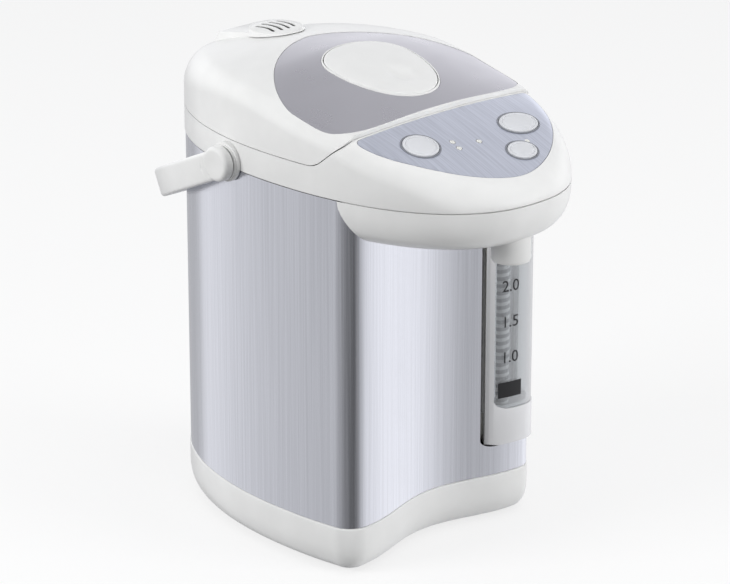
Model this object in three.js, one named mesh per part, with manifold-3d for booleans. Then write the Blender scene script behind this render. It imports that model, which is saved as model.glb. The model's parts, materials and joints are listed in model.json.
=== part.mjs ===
// Electric thermo pot: a lidded hot water dispenser with a pump, a beak with push buttons and a spout,
// a water gauge on the front corner and a bail handle.
//
// Units are millimetres. +Z is up, -Y is the front where the spout is, and +X is to the right of somebody
// who faces the pot's front. The gauge stands on the front corner on that side.
// The pieces are drawn about the line x = 0 with the floor at z = 0. At the end the whole pot is moved
// along
// Y, so that the origin is the middle of its footprint.

import * as THREE from 'three';
import { mergeVertices } from 'three/addons/utils/BufferGeometryUtils.js';
import Module from 'manifold-3d';

const wasm = await Module();
wasm.setup();

// Heights of the main seams
const baseBottomZ = 2.6;
const baseSeamZ = 34;
const collarSeamZ = 263;
const lidSeamZ = 282.5;
const seamGap = 0.4;
const touchGap = 0.3;

// Outline of the body and of the beak, seen from above
const bodyHalfWidth = 94.2;
const widestY = -36.3;
const backReach = 158.9;
const beakReach = 148.9;
const backRoundness = 2.04;
const beakRoundness = 2.3;
const cornerRadius = 16.3;
const cornerFrontY = -104.9;
const frontMiddleY = -90.4;
const collarOverhang = 0.6;

// Sheet and moulding walls
const sheetWall = 0.8;
const mouldWall = 2.6;
const lipHeight = 7;
const lipWall = 2;
const ribWall = 2;

// Base plinth
const baseFootInset = 9.5;
const baseRoundHeight = 17;
const plinthWall = 3;

// Bottom cover, feet and screws
const bottomCoverWall = 2.4;
const footRadius = 8;
const footSpreadX = 46;
const footFrontY = -78;
const footBackY = 70;
const footRecess = 1.2;
const screwHeadRadius = 3.4;
const screwHeadHeight = 1.6;
const screwShankRadius = 1.5;
const screwFrontY = -50;
const screwBackY = 58;
const bossBottomZ = 5.6;
const bossTopZ = 30;
const screwBossRadius = 4.5;
const screwTipZ = 14;
const screwRibReach = 18;
const ribBottomZ = 21;
const screwFrontX = 74;
const screwBackX = 58;

// Crown of the lid and the head
const crownTopZ = 331.6;
const crownPeakY = 0;
const fallReach = 100;
const frontFallDepth = 23;
const frontFallPower = 1.45;
const rearFallDepth = 14.3;
const rearFallPower = 2.4;
const fallSoftness = 0.12;
const sideDropRear = 13.2;
const sideDropFront = 2.2;
const sideDropRearY = -48;
const sideDropFrontY = -148;
const sideDropPower = 1.94;
const lidShoulderReach = 9.5;
const lidShoulderHeight = 11;
const beakShoulderReach = 14.5;
const beakShoulderHeight = 16.5;
const shoulderRearY = -70;
const shoulderFrontY = -130;
const lidStandProud = 2.4;
const wallRiseMin = 1;

// Lid parting line, seen from the side
const lidFrontY = -97;
const lidFrontBow = 3.2;
const lidBowHalfX = 80;
const lidCornerY = -75;
const lidFrontCornerZ = 301;

// Deck under the lid and the container's mouth
const deckWall = 2.5;
const containerY = 14;
const mouthHoleRadius = 77;

// Container
const containerRadius = 79.7;
const containerBottomZ = 66;
const containerBottomFillet = 8;
const neckStartZ = 262;
const neckEndZ = 270;
const neckRadius = 76.9;
const containerFlangeRadius = 82;
const containerSealHeight = 3;
const drainX = 38;
const drainY = -46;
const drainRadius = 5;
const drainBore = 3.8;
const drainLength = 6;
const insulationWall = 3.5;
const insulationBottomZ = 84;
const insulationTopZ = 250;
const filletShare = 0.293;

// Mouth ring
const mouthRingInner = 73.5;
const mouthRingFlange = 81;
const mouthRingFlangeWall = 1.6;
const mouthRingDepth = 14;
const mouthRingWall = 3;

// Beak cover under the head
const beakDepth = 30;
const beakBottomInset = 26;
const beakSquareness = 2.5;
const beakBackClearance = 0.4;

// Spout
const spoutY = -163;
const spoutBottomZ = 219;
const spoutTopZ = 252;
const spoutRadius = 13;
const spoutTipRadius = 12.4;
const spoutBore = 4.2;
const spoutSkirtWall = 1.6;
const spoutNeckHeight = 6;
const spoutTipHeight = 2;

// Control panel in the beak's top
const panelBackY = -98.9;
const panelBackBow = 2.9;
const panelHalfWidth = 79.7;
const panelLength = 74.3;
const panelRoundness = 1.75;
const panelWall = 1.2;
const panelRecess = 1.5;
const panelEdgeGap = 0.35;

// Buttons on the control panel
const buttonProud = 1.1;
const buttonCrown = 0.9;
const buttonSink = 2.2;
const buttonGap = 0.4;
const buttonTravel = 1.2;
const stemRadius = 3;
const reboilX = -45.5;
const reboilY = -125.1;
const reboilHalfX = 12.6;
const reboilHalfY = 11.6;
const dispenseX = 40.1;
const dispenseY = -129.9;
const dispenseHalfX = 15.4;
const dispenseHalfY = 10.6;
const unlockX = 19;
const unlockY = -153.7;
const unlockHalfX = 11.4;
const unlockHalfY = 8.6;
const lampRadius = 1.9;
const lampX = [-21.5, -22.1, -3.2];
const lampY = [-130.1, -136.8, -136.2];
const buttonEdge = 0.8;
const buttonCrownShare = 0.75;
const guideHalfX = 12.5;
const guideHalfY = 6;
const guideWall = 1.5;

// Control board below the panel
const boardDepth = 13.5;
const boardWall = 1.6;
const boardInset = 9;
const boardShare = 0.72;
const boardPostRadius = 3;
const boardPostX = 30;
const switchSide = 6;
const switchClearance = 0.9;
const boardMiddleY = -132;
const boardPostY = -118;
const stemDepth = 7.7;

// Gauge panel on the front corner
const gaugeLeftX = 35;
const gaugeFlankY = -80;
const gaugeBottomZ = 56;
const gaugeTopZ = 231.5;
const gaugeProud = 3.2;
const gaugeEdgeProud = 0.5;
const gaugeWall = 2.2;
const gaugeCutGap = 1;
const gaugeCornerRadius = 5;
const windowBottomZ = 87;
const windowTopInset = 4;
const windowCornerRadius = 7;
const paneWall = 1.4;
const paneSink = 0.6;
const trayDepth = 20;
const trayWall = 1.4;
const trayLip = 3;
const tubeX = 49;
const tubeInset = 14.6;
const tubeRadius = 4.6;
const tubeBore = 3.2;
const tubeBottomZ = 74;
const tubeTopZ = 240;
const sleeveWall = 1.6;
const sleeveLap = 9;
const windowInset = 5.2;
const gaugeSwellPower = 0.7;
const diagonalDepth = 84;

// Outlet pipe in the beak
const outletRadius = 4.4;
const outletBore = 2.4;
const outletTopZ = 272;
const outletBendY = -122;
const outletBendZ = 267;
const outletDropZ = 262;
const outletTurnShare = 0.85;
const valveRadius = 8;
const valveHeight = 15;
const outletStub = 4;
const valveNeckRadius = 6.6;
const hoseTension = 0.5;

// Pump and motor
const bracketZ = 34.5;
const bracketWall = 2;
const bracketHalfX = 26;
const bracketHalfY = 24;
const bracketPostRadius = 3.4;
const motorRadius = 16;
const motorBottomZ = 9;
const motorShaftRadius = 1.6;
const motorShaftBore = 2;
const magnetRadius = 12;
const magnetHeight = 6.6;
const pumpRadius = 17.5;
const pumpWall = 2.2;
const pumpFloorZ = 45.4;
const pumpFloorWall = 1.8;
const pumpTopZ = 57;
const pumpCoverWall = 2;
const impellerRadius = 13;
const impellerDiscWall = 1.8;
const impellerVaneHeight = 4;
const impellerVaneWall = 1.4;
const impellerVanes = 6;
const impellerHubRadius = 4;
const impellerGap = 0.5;
const pumpNozzleRadius = 4;
const pumpNozzleBore = 2.6;
const pumpCollarHeight = 2;
const outletStubLength = 8;
const hoseWall = 1.6;
const motorBearing = 3;
const impellerSweep = 0.5;

// Heater, thermostat and fuse
const heaterRadius = 50;
const heaterHole = 14;
const heaterWall = 3;
const heaterY = 22;
const heaterRibRadius = 34;
const heaterRibThick = 3;
const thermostatRadius = 8;
const thermostatHeight = 8;
const fuseRadius = 2;
const fuseLength = 14;
const fuseX = -66;
const thermostatTab = 12;
const tabWidth = 5;
const tabWall = 1;

// Support frame under the container
const supportInner = 62;
const supportSeat = 78;
const supportOuter = 84;
const supportZ = 58;
const supportWall = 2.4;
const supportPostRadius = 5;
const supportPostAngles = [20, 160, 215, 270];
const supportPostRing = 73;
const supportRimLap = 5;

// Power board in the base
const powerBoardX = -8;
const powerBoardY = 52;
const powerBoardWidth = 86;
const powerBoardDepth = 62;
const powerBoardZ = 14;
const coilWidth = 28;
const coilDepth = 24;
const coilHeight = 22;
const relayWidth = 19;
const relayDepth = 15;
const relayHeight = 15;
const capRadius = 6;
const capHeight = 20;
const bossRadius = 3.5;
const bossInset = 6;

// Power inlet on the back
const inletZ = 60;
const inletHalfWidth = 22;
const inletHalfHeight = 14;
const inletFlangeWall = 1.6;
const inletDepth = 16;
const recessHalfWidth = 16;
const recessHalfHeight = 8.5;
const recessDepth = 12;
const inletPinRadius = 2.2;
const inletPinSpread = 8;
const inletPinLength = 7;
const inletLap = 3;

// Bail handle and its pivots
const pivotY = 9;
const pivotZ = 267;
const bossOuterX = 96.2;
const bossInnerX = 88;
const bossCoverRadius = 13.4;
const bossNeckRadius = 12;
const bossNeckWidth = 1.4;
const pivotPinRadius = 3.5;
const pivotPinGap = 0.35;
const armInnerX = 97.2;
const armThick = 6.4;
const armWidth = 20;
const hubRadius = 12;
const gripThick = 13;
const restDroop = 24;
const pivotPinReach = 12;
const strapReach = 143.5;
const strapRoundness = 2.15;
const strapEdge = 1.4;
const hubProud = 0.8;
const hubRim = 2.4;
const pinHubReach = 5;

// Lid trim, lever and vent
const trimHalfWidth = 88;
const trimMiddleY = -49;
const trimFrontReach = 49.4;
const trimBackReach = 76.8;
const trimFrontPower = 5.5;
const trimBackPower = 1.57;
const trimWall = 1.2;
const trimRecess = 1.5;
const trimGap = 0.35;
const leverY = -33.6;
const leverHalfX = 35.4;
const leverFrontReach = 49;
const leverBackReach = 27;
const leverPower = 2.1;
const leverProud = 1;
const leverSink = 1.6;
const leverGap = 0.6;
const bezelWidth = 1.6;
const bezelProud = 0.7;
const wellFloorZ = 306;
const wellFloor = 1.4;
const wellWall = 1.6;
const dentY = -64;
const dentRadius = 22;
const dentDepth = 2;
const leverPinY = -15;
const leverPinRadius = 1.5;
const leverPinDrop = 5.2;
const lugWidth = 3;
const lugX = 9;
const lugRadius = 2.8;
const leverTongueY = -70;
const leverTongueHalfX = 3;
const leverTongueHalfY = 2;
const leverTongueLength = 17.5;
const tongueSlotGap = 3.5;
const springX = 0;
const springY = -36;
const springRadius = 3.4;
const springWire = 0.6;
const springTurns = 4;
const boltHalfX = 9;
const boltBackY = -58;
const boltTipY = -103.6;
const boltBottomZ = 300.5;
const boltTopZ = 303;
const boltGap = 0.5;
const boltGuideWall = 1.6;
const ventY = 60;
const ventTopZ = 331;
const ventRadius = 19.3;
const ventSkirtRadius = 20.6;
const ventCapWall = 1.8;
const ventCrown = 1;
const ventHoleRadius = 15;
const ventSlots = 4;
const ventSlotWidth = 2.6;
const ventSlotPitch = 6.4;
const ventSlotHalf = 10.5;
const ventSlotBow = 1.6;
const springEndGap = 1.4;
const boltSlotFront = 2.4;
const boltSlope = 3;
const ventSkirtDepth = 11;
const ventCrownShare = 0.8;

// Hump over the hinge
const humpHalfX = 19;
const humpTopHalfX = 16.5;
const humpFrontY = 62;
const humpFrontZ = 329.5;
const humpBackTopY = 101;
const humpBackTopZ = 322.6;
const humpBackFootY = 110;
const humpSink = 9;
const humpBackFootZ = 303;

// Hinge
const hingeY = 116.5;
const hingeZ = 286.5;
const hingeRadius = 8;
const hingePinRadius = 1.5;
const hingePinGap = 0.35;
const knuckleHalf = 9;
const earGap = 0.4;
const earOuterX = 25.2;
const earCutGap = 0.8;
const lidCutTopZ = 296.5;
const lidCutFrontY = 107.6;
const knuckleRadius = 4;

// Lid inner parts
const innerCoverZ = 285.2;
const innerCoverWall = 2;
const innerCoverGap = 0.35;
const plateRadius = 69.4;
const plateWall = 0.8;
const plateRimZ = 280.4;
const plateRaise = 3;
const plateRaiseRadius = 52;
const gasketOuter = 72.9;
const gasketBottomZ = 277;
const gasketLipWall = 1.6;
const ductRadius = 7;
const ductBore = 5.4;
const lidBossRadius = 3.6;
const lidScrewPlaces = [[62, 30], [-62, 30]];
const lidScrewTipZ = 297;
const lidScrewHead = 1.2;
const gasketGrip = 1.6;
const gasketTopZ = 284.6;
const ductTopZ = 320;

// Steps along drawn curves
const ovalSides = 10;
const leverSides = 18;
const trimSteps = 10;
const panelSteps = 10;
const strapSteps = 14;
const spoutSides = 18;
const coilSteps = 7;
const wireSides = 4;
const ventSlotSteps = 2;

// Fineness of the facets
const backSteps = 8;
const flankSteps = 2;
const cornerSteps = 3;
const frontSteps = 4;
const beakSteps = 9;
const shoulderSteps = 3;
const crownSteps = 3;
const innerRows = 2;
const partingSteps = 4;
const panelBackSteps = 4;
const roundSides = 22;
const smallSides = 10;
const pinSides = 8;
const pathSteps = 9;
const boreExtraSteps = 4;
const sectionSides = 8;
const cutOverrun = 4;
const cutHigh = 400;
const weldDistance = 0.0001;
const sharpestCosine = 0.5;

// Colours and finishes
function finish(color, roughness, metalness) {
  return { color, roughness, metalness };
}

const whiteGloss = finish(0xf2f2f0, 0.3, 0);
const whiteSatin = finish(0xe9eaea, 0.45, 0);
const greyPlastic = finish(0x9d9fa3, 0.45, 0.1);
const lidGrey = finish(0xb9b8c2, 0.35, 0.5);
const brushedBlue = finish(0xb3b9c8, 0.32, 0.9);
const brushedJacket = finish(0xc3c7d2, 0.3, 0.95);
const silver = finish(0xc9cbcf, 0.2, 0.9);
const steel = finish(0xc8c8c6, 0.3, 1);
const darkSteel = finish(0x77787a, 0.4, 1);
const rubberBlack = finish(0x2b2b2c, 0.8, 0);
const siliconeClear = finish(0xd9dad6, 0.5, 0);
const clearPlastic = finish(0xdfe4e8, 0.08, 0);
const boardGreen = finish(0x2f6b46, 0.6, 0);
const blackPlastic = finish(0x26272a, 0.5, 0);
const brass = finish(0xc7a45a, 0.35, 1);
const fibreFelt = finish(0xd8d2c4, 0.95, 0);
const magnetGrey = finish(0x55575c, 0.5, 0.6);

const pot = new THREE.Group();
const model = new THREE.Group();
pot.add(model);

// Solids from three.js geometry
function solidOf(geometry) {
  const plain = geometry.clone();
  plain.deleteAttribute('normal');
  plain.deleteAttribute('uv');
  const merged = mergeVertices(plain, weldDistance);
  const vertProperties = Float32Array.from(merged.attributes.position.array);
  const triVerts = Uint32Array.from(merged.index.array);
  return new wasm.Manifold(new wasm.Mesh({ numProp: 3, vertProperties, triVerts }));
}

function geometryOf(solid) {
  const mesh = solid.getMesh();
  const geometry = new THREE.BufferGeometry();
  geometry.setAttribute('position', new THREE.BufferAttribute(mesh.vertProperties, 3));
  geometry.setIndex(new THREE.BufferAttribute(mesh.triVerts, 1));
  const flat = geometry.toNonIndexed();
  flat.computeVertexNormals();
  return flat;
}

function joined(...solids) {
  return solids.reduce((whole, solid) => whole.add(solid));
}

function cut(solid, ...tools) {
  return tools.reduce((rest, tool) => rest.subtract(tool), solid);
}

function common(first, second) {
  return first.intersect(second);
}

function placed(geometry, x, y, z, turnX = 0, turnZ = 0) {
  geometry.rotateX(turnX);
  geometry.rotateZ(turnZ);
  geometry.translate(x, y, z);
  return solidOf(geometry);
}

function part(name, solid, look) {
  const material = new THREE.MeshStandardMaterial(look);
  const mesh = new THREE.Mesh(geometryOf(solid), material);
  mesh.name = name;
  model.add(mesh);
  return mesh;
}

// Basic shapes
const quarterTurn = Math.PI / 2;

function box(xMin, xMax, yMin, yMax, zMin, zMax) {
  const geometry = new THREE.BoxGeometry(xMax - xMin, yMax - yMin, zMax - zMin);
  return placed(geometry, (xMin + xMax) / 2, (yMin + yMax) / 2, (zMin + zMax) / 2);
}

function post(radius, x, y, zMin, zMax, sides = smallSides, topRadius = radius) {
  const geometry = new THREE.CylinderGeometry(topRadius, radius, zMax - zMin, sides);
  return placed(geometry, x, y, (zMin + zMax) / 2, quarterTurn);
}

function crossRod(radius, xMin, xMax, y, z, sides = smallSides) {
  const geometry = new THREE.CylinderGeometry(radius, radius, xMax - xMin, sides);
  geometry.rotateZ(quarterTurn);
  return placed(geometry, (xMin + xMax) / 2, y, z);
}

function depthRod(radius, x, yMin, yMax, z, sides = smallSides) {
  const geometry = new THREE.CylinderGeometry(radius, radius, yMax - yMin, sides);
  return placed(geometry, x, (yMin + yMax) / 2, z);
}

function tube(outer, inner, x, y, zMin, zMax, sides = smallSides) {
  return cut(post(outer, x, y, zMin, zMax, sides), post(inner, x, y, zMin - cutOverrun, zMax + cutOverrun,
    sides));
}

// A solid of revolution about a vertical axis, from a closed profile of [radius, height] points
function turned(profile, x, y, sides = roundSides) {
  const points = profile.map(([radius, height]) => new THREE.Vector2(radius, height));
  if (points[0].x !== 0 || points[points.length - 1].x !== 0) points.push(points[0].clone());
  return oriented(new THREE.LatheGeometry(points, sides), new THREE.Matrix4().makeTranslation(x, y, 0)
    .multiply(new THREE.Matrix4().makeRotationX(quarterTurn)));
}

function signedVolume(geometry) {
  const position = geometry.attributes.position;
  const index = geometry.index;
  const a = new THREE.Vector3();
  const b = new THREE.Vector3();
  const c = new THREE.Vector3();
  let total = 0;
  for (let i = 0; i < index.count; i += 3) {
    a.fromBufferAttribute(position, index.getX(i));
    b.fromBufferAttribute(position, index.getX(i + 1));
    c.fromBufferAttribute(position, index.getX(i + 2));
    total += a.dot(b.cross(c));
  }
  return total;
}

// Turns the faces outwards where a profile was given the other way round
function oriented(geometry, matrix = new THREE.Matrix4()) {
  geometry.deleteAttribute('normal');
  geometry.deleteAttribute('uv');
  const merged = mergeVertices(geometry, weldDistance);
  merged.applyMatrix4(matrix);
  const kept = [];
  const index = merged.index.array;
  for (let i = 0; i < index.length; i += 3) {
    const [a, b, c] = [index[i], index[i + 1], index[i + 2]];
    if (a !== b && b !== c && c !== a) kept.push(a, b, c);
  }
  merged.setIndex(kept);
  if (signedVolume(merged) < 0) {
    for (let i = 0; i < kept.length; i += 3) [kept[i + 1], kept[i + 2]] = [kept[i + 2], kept[i + 1]];
    merged.setIndex(kept);
  }
  return solidOf(merged);
}

// A solid through rings of equal counts. Its ends are closed by flat faces, or by a point where a ring
// has one.
function loft(rings) {
  const positions = [];
  const index = [];
  const starts = rings.map((ring) => {
    const start = positions.length / 3;
    ring.forEach((point) => positions.push(point.x, point.y, point.z));
    return start;
  });
  for (let k = 0; k + 1 < rings.length; k += 1) {
    const lower = rings[k];
    const upper = rings[k + 1];
    const count = Math.max(lower.length, upper.length);
    for (let i = 0; i < count; i += 1) {
      const next = (i + 1) % count;
      const a = starts[k] + (lower.length > 1 ? i : 0);
      const b = starts[k] + (lower.length > 1 ? next : 0);
      const c = starts[k + 1] + (upper.length > 1 ? next : 0);
      const d = starts[k + 1] + (upper.length > 1 ? i : 0);
      if (lower.length > 1) index.push(a, b, c);
      if (upper.length > 1) index.push(a, c, d);
    }
  }
  [[0, true], [rings.length - 1, false]].forEach(([at, first]) => {
    const ring = rings[at];
    if (ring.length < 3) return;
    const flat = flattened(ring);
    THREE.ShapeUtils.triangulateShape(flat, []).forEach(([a, b, c]) => {
      const turn = THREE.ShapeUtils.area(flat) > 0;
      const face = first === turn ? [a, c, b] : [a, b, c];
      index.push(...face.map((corner) => starts[at] + corner));
    });
  });
  const geometry = new THREE.BufferGeometry();
  geometry.setAttribute('position', new THREE.Float32BufferAttribute(positions, 3));
  geometry.setIndex(consistent(index));
  return oriented(geometry);
}

// The end rings of a loft may face any way, so each face is turned to agree with its neighbour
function consistent(index) {
  const edgeFaces = new Map();
  const faces = [];
  for (let i = 0; i < index.length; i += 3) {
    const face = [index[i], index[i + 1], index[i + 2]];
    faces.push(face);
    for (let e = 0; e < 3; e += 1) {
      const key = [face[e], face[(e + 1) % 3]].sort((p, q) => p - q).join('_');
      if (!edgeFaces.has(key)) edgeFaces.set(key, []);
      edgeFaces.get(key).push(faces.length - 1);
    }
  }
  const seen = new Set([0]);
  const queue = [0];
  const runs = (face, from, to) => [0, 1, 2].some((e) => face[e] === from && face[(e + 1) % 3] === to);
  while (queue.length) {
    const face = faces[queue.pop()];
    for (let e = 0; e < 3; e += 1) {
      const [from, to] = [face[e], face[(e + 1) % 3]];
      const key = [from, to].sort((p, q) => p - q).join('_');
      edgeFaces.get(key).forEach((other) => {
        if (seen.has(other)) return;
        if (runs(faces[other], from, to)) faces[other].reverse();
        seen.add(other);
        queue.push(other);
      });
    }
  }
  return faces.flat();
}

// A ring's points in its own plane, for filling the end faces
function flattened(ring) {
  const normal = new THREE.Vector3();
  ring.forEach((point, i) => {
    const next = ring[(i + 1) % ring.length];
    normal.x += (point.y - next.y) * (point.z + next.z);
    normal.y += (point.z - next.z) * (point.x + next.x);
    normal.z += (point.x - next.x) * (point.y + next.y);
  });
  const turn = new THREE.Quaternion().setFromUnitVectors(normal.normalize(), new THREE.Vector3(0, 0, 1));
  return ring.map((point) => {
    const moved = point.clone().applyQuaternion(turn);
    return new THREE.Vector2(moved.x, moved.y);
  });
}

// Prisms along Z and along X from points of an outline
function prism(points, zMin, zMax) {
  return loft([zMin, zMax].map((z) => points.map((point) => new THREE.Vector3(point.x, point.y, z))));
}

function crossPrism(points, xMin, xMax) {
  return loft([xMin, xMax].map((x) => points.map(([y, z]) => new THREE.Vector3(x, y, z))));
}

// Outlines seen from above
function power(value, exponent) {
  return Math.sign(value) * Math.abs(value) ** exponent;
}

function mirrored(half) {
  const left = half.slice(1, -1).reverse().map((point) => new THREE.Vector2(-point.x, point.y));
  return [...half, ...left];
}

function backArc() {
  const points = [];
  for (let i = 0; i <= backSteps; i += 1) {
    const angle = quarterTurn * (i / backSteps);
    const x = bodyHalfWidth * power(Math.sin(angle), 2 / backRoundness);
    points.push(new THREE.Vector2(x, widestY + backReach * power(Math.cos(angle), 2 / backRoundness)));
  }
  return points;
}

function beakHalfWidthAt(y) {
  const reach = Math.min((widestY - y) / beakReach, 1);
  return bodyHalfWidth * (1 - reach ** beakRoundness) ** (1 / beakRoundness);
}

function headOutline() {
  const half = backArc();
  for (let i = 1; i <= beakSteps; i += 1) {
    const angle = quarterTurn * (i / beakSteps);
    const x = bodyHalfWidth * power(Math.cos(angle), 2 / beakRoundness);
    half.push(new THREE.Vector2(x, widestY - beakReach * power(Math.sin(angle), 2 / beakRoundness)));
  }
  half[half.length - 1].x = 0;
  half[0].x = 0;
  return mirrored(half);
}

function bodyOutline() {
  const half = backArc();
  half[0].x = 0;
  const cornerStartY = cornerFrontY + cornerRadius;
  for (let i = 1; i <= flankSteps; i += 1) {
    const y = widestY + (cornerStartY - widestY) * (i / flankSteps);
    half.push(new THREE.Vector2(beakHalfWidthAt(y), y));
  }
  const centreX = beakHalfWidthAt(cornerStartY) - cornerRadius;
  for (let i = 1; i <= cornerSteps; i += 1) {
    const angle = quarterTurn * (i / cornerSteps);
    half.push(new THREE.Vector2(centreX + cornerRadius * Math.cos(angle),
      cornerStartY - cornerRadius * Math.sin(angle)));
  }
  for (let i = 1; i <= frontSteps; i += 1) {
    const share = i / frontSteps;
    const rise = (1 - Math.cos(Math.PI * share)) / 2;
    half.push(new THREE.Vector2(centreX * (1 - share),
      cornerFrontY + (frontMiddleY - cornerFrontY) * rise));
  }
  half[half.length - 1].x = 0;
  return mirrored(half);
}

// Moves each point of a closed outline inwards, or outwards where the distance is negative. The
// distance may
// be a function of the point.
function inset(outline, distance) {
  const turn = THREE.ShapeUtils.area(outline) > 0 ? 1 : -1;
  return outline.map((point, i) => {
    const before = outline[(i + outline.length - 1) % outline.length];
    const after = outline[(i + 1) % outline.length];
    const first = new THREE.Vector2(point.y - before.y, before.x - point.x).normalize();
    const second = new THREE.Vector2(after.y - point.y, point.x - after.x).normalize();
    const normal = first.clone().add(second).normalize();
    const amount = typeof distance === 'function' ? distance(point) : distance;
    const stretch = amount / Math.max(normal.dot(first), sharpestCosine);
    return new THREE.Vector2(point.x - normal.x * stretch * turn, point.y - normal.y * stretch * turn);
  });
}

const bodyPlan = bodyOutline();
const headPlan = headOutline();
const jacketPlan = inset(bodyPlan, collarOverhang);

function bodyPrism(distance, zMin, zMax) {
  return prism(inset(jacketPlan, distance), zMin, zMax);
}

// How far a rounded slope has fallen at a distance from its top. It falls by its depth at its reach.
function fallen(distance, reach, depth, exponent) {
  return depth * (Math.hypot(distance / reach, fallSoftness) ** exponent - fallSoftness ** exponent);
}

// A value that changes softly between a rear place and a front place
function blended(y, rearY, frontY, rear, front) {
  return THREE.MathUtils.lerp(rear, front, THREE.MathUtils.smoothstep(rearY - y, 0, rearY - frontY));
}

function crownZ(x, y) {
  const along = y > crownPeakY
    ? fallen(y - crownPeakY, fallReach, rearFallDepth, rearFallPower)
    : fallen(y - crownPeakY, fallReach, frontFallDepth, frontFallPower);
  const drop = blended(y, sideDropRearY, sideDropFrontY, sideDropRear, sideDropFront);
  return crownTopZ - along - fallen(x, bodyHalfWidth, drop, sideDropPower);
}

function shoulderSize(y, depth, rear, front) {
  return Math.max(blended(y, shoulderRearY, shoulderFrontY, rear, front) - depth, wallRiseMin);
}

// The solid under the crown, down to a given height. A depth moves its whole surface inwards.
function dome(depth, sink = 0, bottomZ = collarSeamZ, rows = crownSteps) {
  const outer = inset(headPlan, depth);
  const reach = (point) => shoulderSize(point.y, depth, lidShoulderReach, beakShoulderReach);
  const height = (point) => shoulderSize(point.y, depth, lidShoulderHeight, beakShoulderHeight);
  const top = (point) => crownZ(point.x, point.y) - sink - depth;
  const rise = (point) => Math.min(height(point), top(point) - collarSeamZ - wallRiseMin);
  const raised = (point, z) => new THREE.Vector3(point.x, point.y, z);
  const rings = [outer.map((point) => raised(point, bottomZ))];
  for (let i = 0; i <= shoulderSteps; i += 1) {
    const angle = quarterTurn * (i / shoulderSteps);
    const ring = inset(outer, (point) => reach(point) * (1 - Math.cos(angle)));
    rings.push(ring.map((point, k) => raised(point, top(point) - rise(outer[k]) * (1 - Math.sin(angle)))));
  }
  const inner = inset(outer, reach);
  for (let i = 1; i < rows; i += 1) {
    const share = 1 - i / rows;
    rings.push(inner.map((point) => {
      const near = new THREE.Vector2(point.x * share, crownPeakY + (point.y - crownPeakY) * share);
      return raised(near, top(near));
    }));
  }
  const middle = new THREE.Vector2(0, crownPeakY);
  rings.push([raised(middle, top(middle))]);
  return loft(rings);
}

const deckBottomZ = lidSeamZ - seamGap - deckWall;
const flangeZ = deckBottomZ - touchGap - containerSealHeight - touchGap;
const tubePlace = [tubeX, cornerFrontY + collarOverhang + tubeInset];
const bracketPlaces = [[-1, -1], [1, -1], [1, 1], [-1, 1]].map(([x, y]) => (
  [drainX + x * (bracketHalfX - bracketPostRadius), drainY + y * (bracketHalfY - bracketPostRadius)]));
const boardPlaces = [[-1, -1], [1, -1], [1, 1], [-1, 1]].map(([x, y]) => (
  [powerBoardX + x * (powerBoardWidth / 2 - bossInset),
    powerBoardY + y * (powerBoardDepth / 2 - bossInset)]));
const valveTopZ = tubeTopZ + valveHeight + outletStub;

// The lid's region: a level seam, a slope up to the front corner and an upright front that bows forwards
function lidRegion(growth) {
  const section = (x, shift) => {
    const frontY = lidFrontY - shift;
    const corners = [
      [frontY, lidFrontCornerZ], [lidCornerY, lidSeamZ], [cutHigh, lidSeamZ], [cutHigh, cutHigh],
        [frontY, cutHigh],
    ].map(([y, z]) => new THREE.Vector2(y, z));
    return inset(corners, -growth).map((point) => new THREE.Vector3(x, point.x, point.y));
  };
  const middle = [];
  for (let i = 0; i <= partingSteps; i += 1) {
    const share = 1 - (i + i) / partingSteps;
    middle.push(section(-lidBowHalfX * share, lidFrontBow * (1 - share ** 2)));
  }
  return loft([section(-cutHigh, 0), ...middle, section(cutHigh, 0)]);
}

// Base
function plinthSolid(wall, bottomZ, topZ, steps = shoulderSteps) {
  const rings = [];
  const ring = (distance, z) => inset(bodyPlan, distance).map((point) => new THREE.Vector3(point.x, point.y,
    z));
  if (bottomZ < baseBottomZ) rings.push(ring(baseFootInset + wall, bottomZ));
  for (let i = 0; i <= shoulderSteps; i += 1) {
    const angle = quarterTurn * (i / shoulderSteps);
    const distance = wall + baseFootInset * (1 - Math.sin(angle));
    rings.push(ring(distance, baseBottomZ + baseRoundHeight * (1 - Math.cos(angle))));
  }
  rings.push(ring(wall, topZ));
  return loft(rings);
}

const screwPlaces = [
  [screwFrontX, screwFrontY], [-screwFrontX, screwFrontY], [screwBackX, screwBackY],
    [-screwBackX, screwBackY],
];
const footPlaces = [
  [footSpreadX, footFrontY], [-footSpreadX, footFrontY], [footSpreadX, footBackY],
    [-footSpreadX, footBackY],
];
const coverBottomZ = baseBottomZ + touchGap;
const coverTopZ = coverBottomZ + bottomCoverWall;
const screwHeadTopZ = coverBottomZ + screwHeadHeight;

function lipRing(zMin, zMax) {
  const outer = sheetWall + touchGap;
  return cut(bodyPrism(outer, zMin, zMax), bodyPrism(outer + lipWall, zMin - cutOverrun,
    zMax + cutOverrun));
}

function basePlinth() {
  const outer = plinthSolid(0, baseBottomZ, baseSeamZ);
  const shell = cut(outer, plinthSolid(plinthWall, baseBottomZ - cutOverrun, baseSeamZ + cutOverrun, 1));
  const bosses = screwPlaces.map(([x, y]) => {
    const side = Math.sign(x) * (Math.abs(x) + screwRibReach);
    const rib = box(Math.min(x, side), Math.max(x, side), y - ribWall / 2, y + ribWall / 2, ribBottomZ,
      bossTopZ);
    return joined(post(screwBossRadius, x, y, bossBottomZ, bossTopZ), rib);
  });
  const bores = screwPlaces.map(([x, y]) => (
    post(screwShankRadius + touchGap, x, y, baseBottomZ, screwTipZ + touchGap, pinSides)));
  const body = joined(shell, lipRing(baseSeamZ - lipWall, baseSeamZ + lipHeight), ...bosses);
  return part('base_plinth', cut(body, ...bores), whiteGloss);
}

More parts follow.
